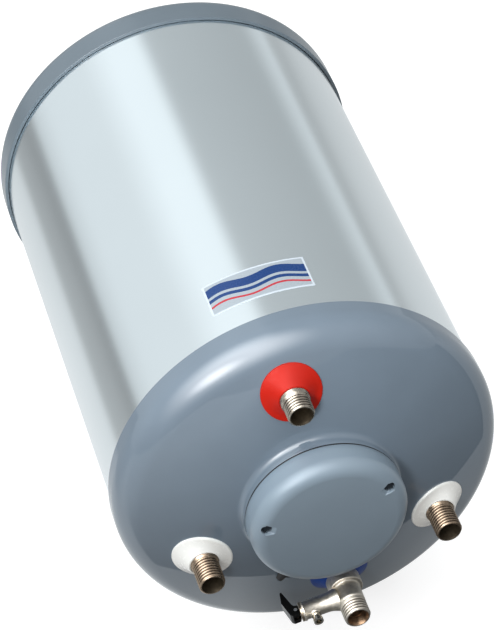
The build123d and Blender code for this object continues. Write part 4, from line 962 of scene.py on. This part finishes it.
# Soft boxes in front of the heater: direction, sizes of the full and the faded part, and level
FRONT_BOXES = [((-0.33, -0.40, 0.86), 0.20, 0.85, 10.0), ((-0.46, -0.55, 0.70), 0.02, 0.34, 13.0)]
# Light from the room by the height that it comes from: little from below, most from above
ROOM = [(-1.0, 0.04), (0.0, 0.05), (0.3, 0.12), (0.7, 0.62), (1.0, 1.0)]
ROOM_LEVEL = 2.15


def cooled(level, cool):
    """A grey level with less red, and half as much more blue."""
    return (level * (1 - cool), level, level * (1 + 0.5 * cool))


def studio():
    """White room. Glossy rays see softboxes as bands round the heater's axis, and soft boxes in front. The
    light itself comes mostly from above."""
    world = bpy.data.worlds.new("studio")
    bpy.context.scene.world = world
    tree = Nodes(world, "ShaderNodeOutputWorld")
    x, y, z = tree.axes("Generated")
    turn = tree.math("ARCTAN2", x, z)
    stops = [(radians(angle), cooled(level / BAND_TOP, BAND_COOL)) for angle, level in BANDS]
    sides = tree.ramp(turn, -pi, pi, stops)
    # Rays that leave to the front see a plain room by height; the bands fade in towards the back
    front = tree.ramp(z, -1.0, 1.0, [(-1.0, 0.3), (0.0, 0.3), (0.35, 0.45), (1.0, 0.75)])
    share = tree.ramp(y, -1.0, 1.0, [(-1.0, 0.0), (-0.25, 0.0), (0.2, 1.0), (1.0, 1.0)])
    strength = BAND_TOP
    for direction, inner, outer, level in FRONT_BOXES:
        far = tree.add("ShaderNodeVectorMath", operation="DISTANCE")
        tree.join(tree.add("ShaderNodeTexCoord").outputs["Generated"], far.inputs[0])
        far.inputs[1].default_value = direction
        fade = tree.ranged(far.outputs["Value"], (inner, outer), (level, 0.0), interpolation_type="SMOOTHSTEP")
        strength = tree.math("ADD", strength, fade)
    mirrored = tree.light("ShaderNodeBackground", tree.blend(share, front, sides), strength)
    room = tree.light("ShaderNodeBackground", tree.ramp(z, -1.0, 1.0, ROOM), ROOM_LEVEL)
    tree.by_ray(tree.light("ShaderNodeBackground", (1.0, 1.0, 1.0)), mirrored, room)


studio()


def lamp(name, kind, power, size):
    """Soft lamp that glossy faces don't show."""
    data = bpy.data.lights.new(name, kind)
    data.energy = power
    data.shadow_soft_size = size
    thing = put(name, data)
    thing.visible_glossy = False
    return thing


def turned(right, up, back, place):
    """Matrix that stands an object at a place with its three axes along three directions."""
    return Matrix([[right[i], up[i], back[i], place[i]] for i in range(3)] + [[0, 0, 0, 1]])


def front_spot(power, place, target, angle, blend, size):
    """Spot over the heater's front whose lower edge fades out down its face."""
    spot = lamp("front spot", "SPOT", power, size)
    spot.data.spot_size = radians(angle)
    spot.data.spot_blend = blend
    away = np.array(place, float) - np.array(target, float)
    away /= np.linalg.norm(away)
    side = np.cross([0.0, 0.0, 1.0], away)
    side /= np.linalg.norm(side)
    spot.matrix_world = turned(side, np.cross(away, side), away, place)


front_spot(power=60.0, place=(-0.40, -1.22, 1.05), target=(-0.044, -0.36, 0.756), angle=50.0, blend=0.38,
           size=0.12)
left_fill = lamp("left fill", "POINT", power=18.0, size=0.2)
left_fill.location = (-1.25, -0.15, 0.50)

CAMERA_AT = (-0.1538, -1.6132, 1.6992)
CAMERA_RIGHT = (0.94389, -0.27371, -0.18476)
CAMERA_UP = (0.32213, 0.63987, 0.69770)
CAMERA_BACK = (-0.07275, -0.71808, 0.69215)
shot = bpy.data.cameras.new("photo")
shot.lens = 155.01
shot.sensor_width = 36.0
shot.shift_x = -0.0067
shot.shift_y = -0.0023
shot.clip_end = 50.0
camera = put("photo", shot)
camera.matrix_world = turned(CAMERA_RIGHT, CAMERA_UP, CAMERA_BACK, CAMERA_AT)
scene = bpy.context.scene
scene.camera = camera
scene.view_settings.view_transform = "Standard"
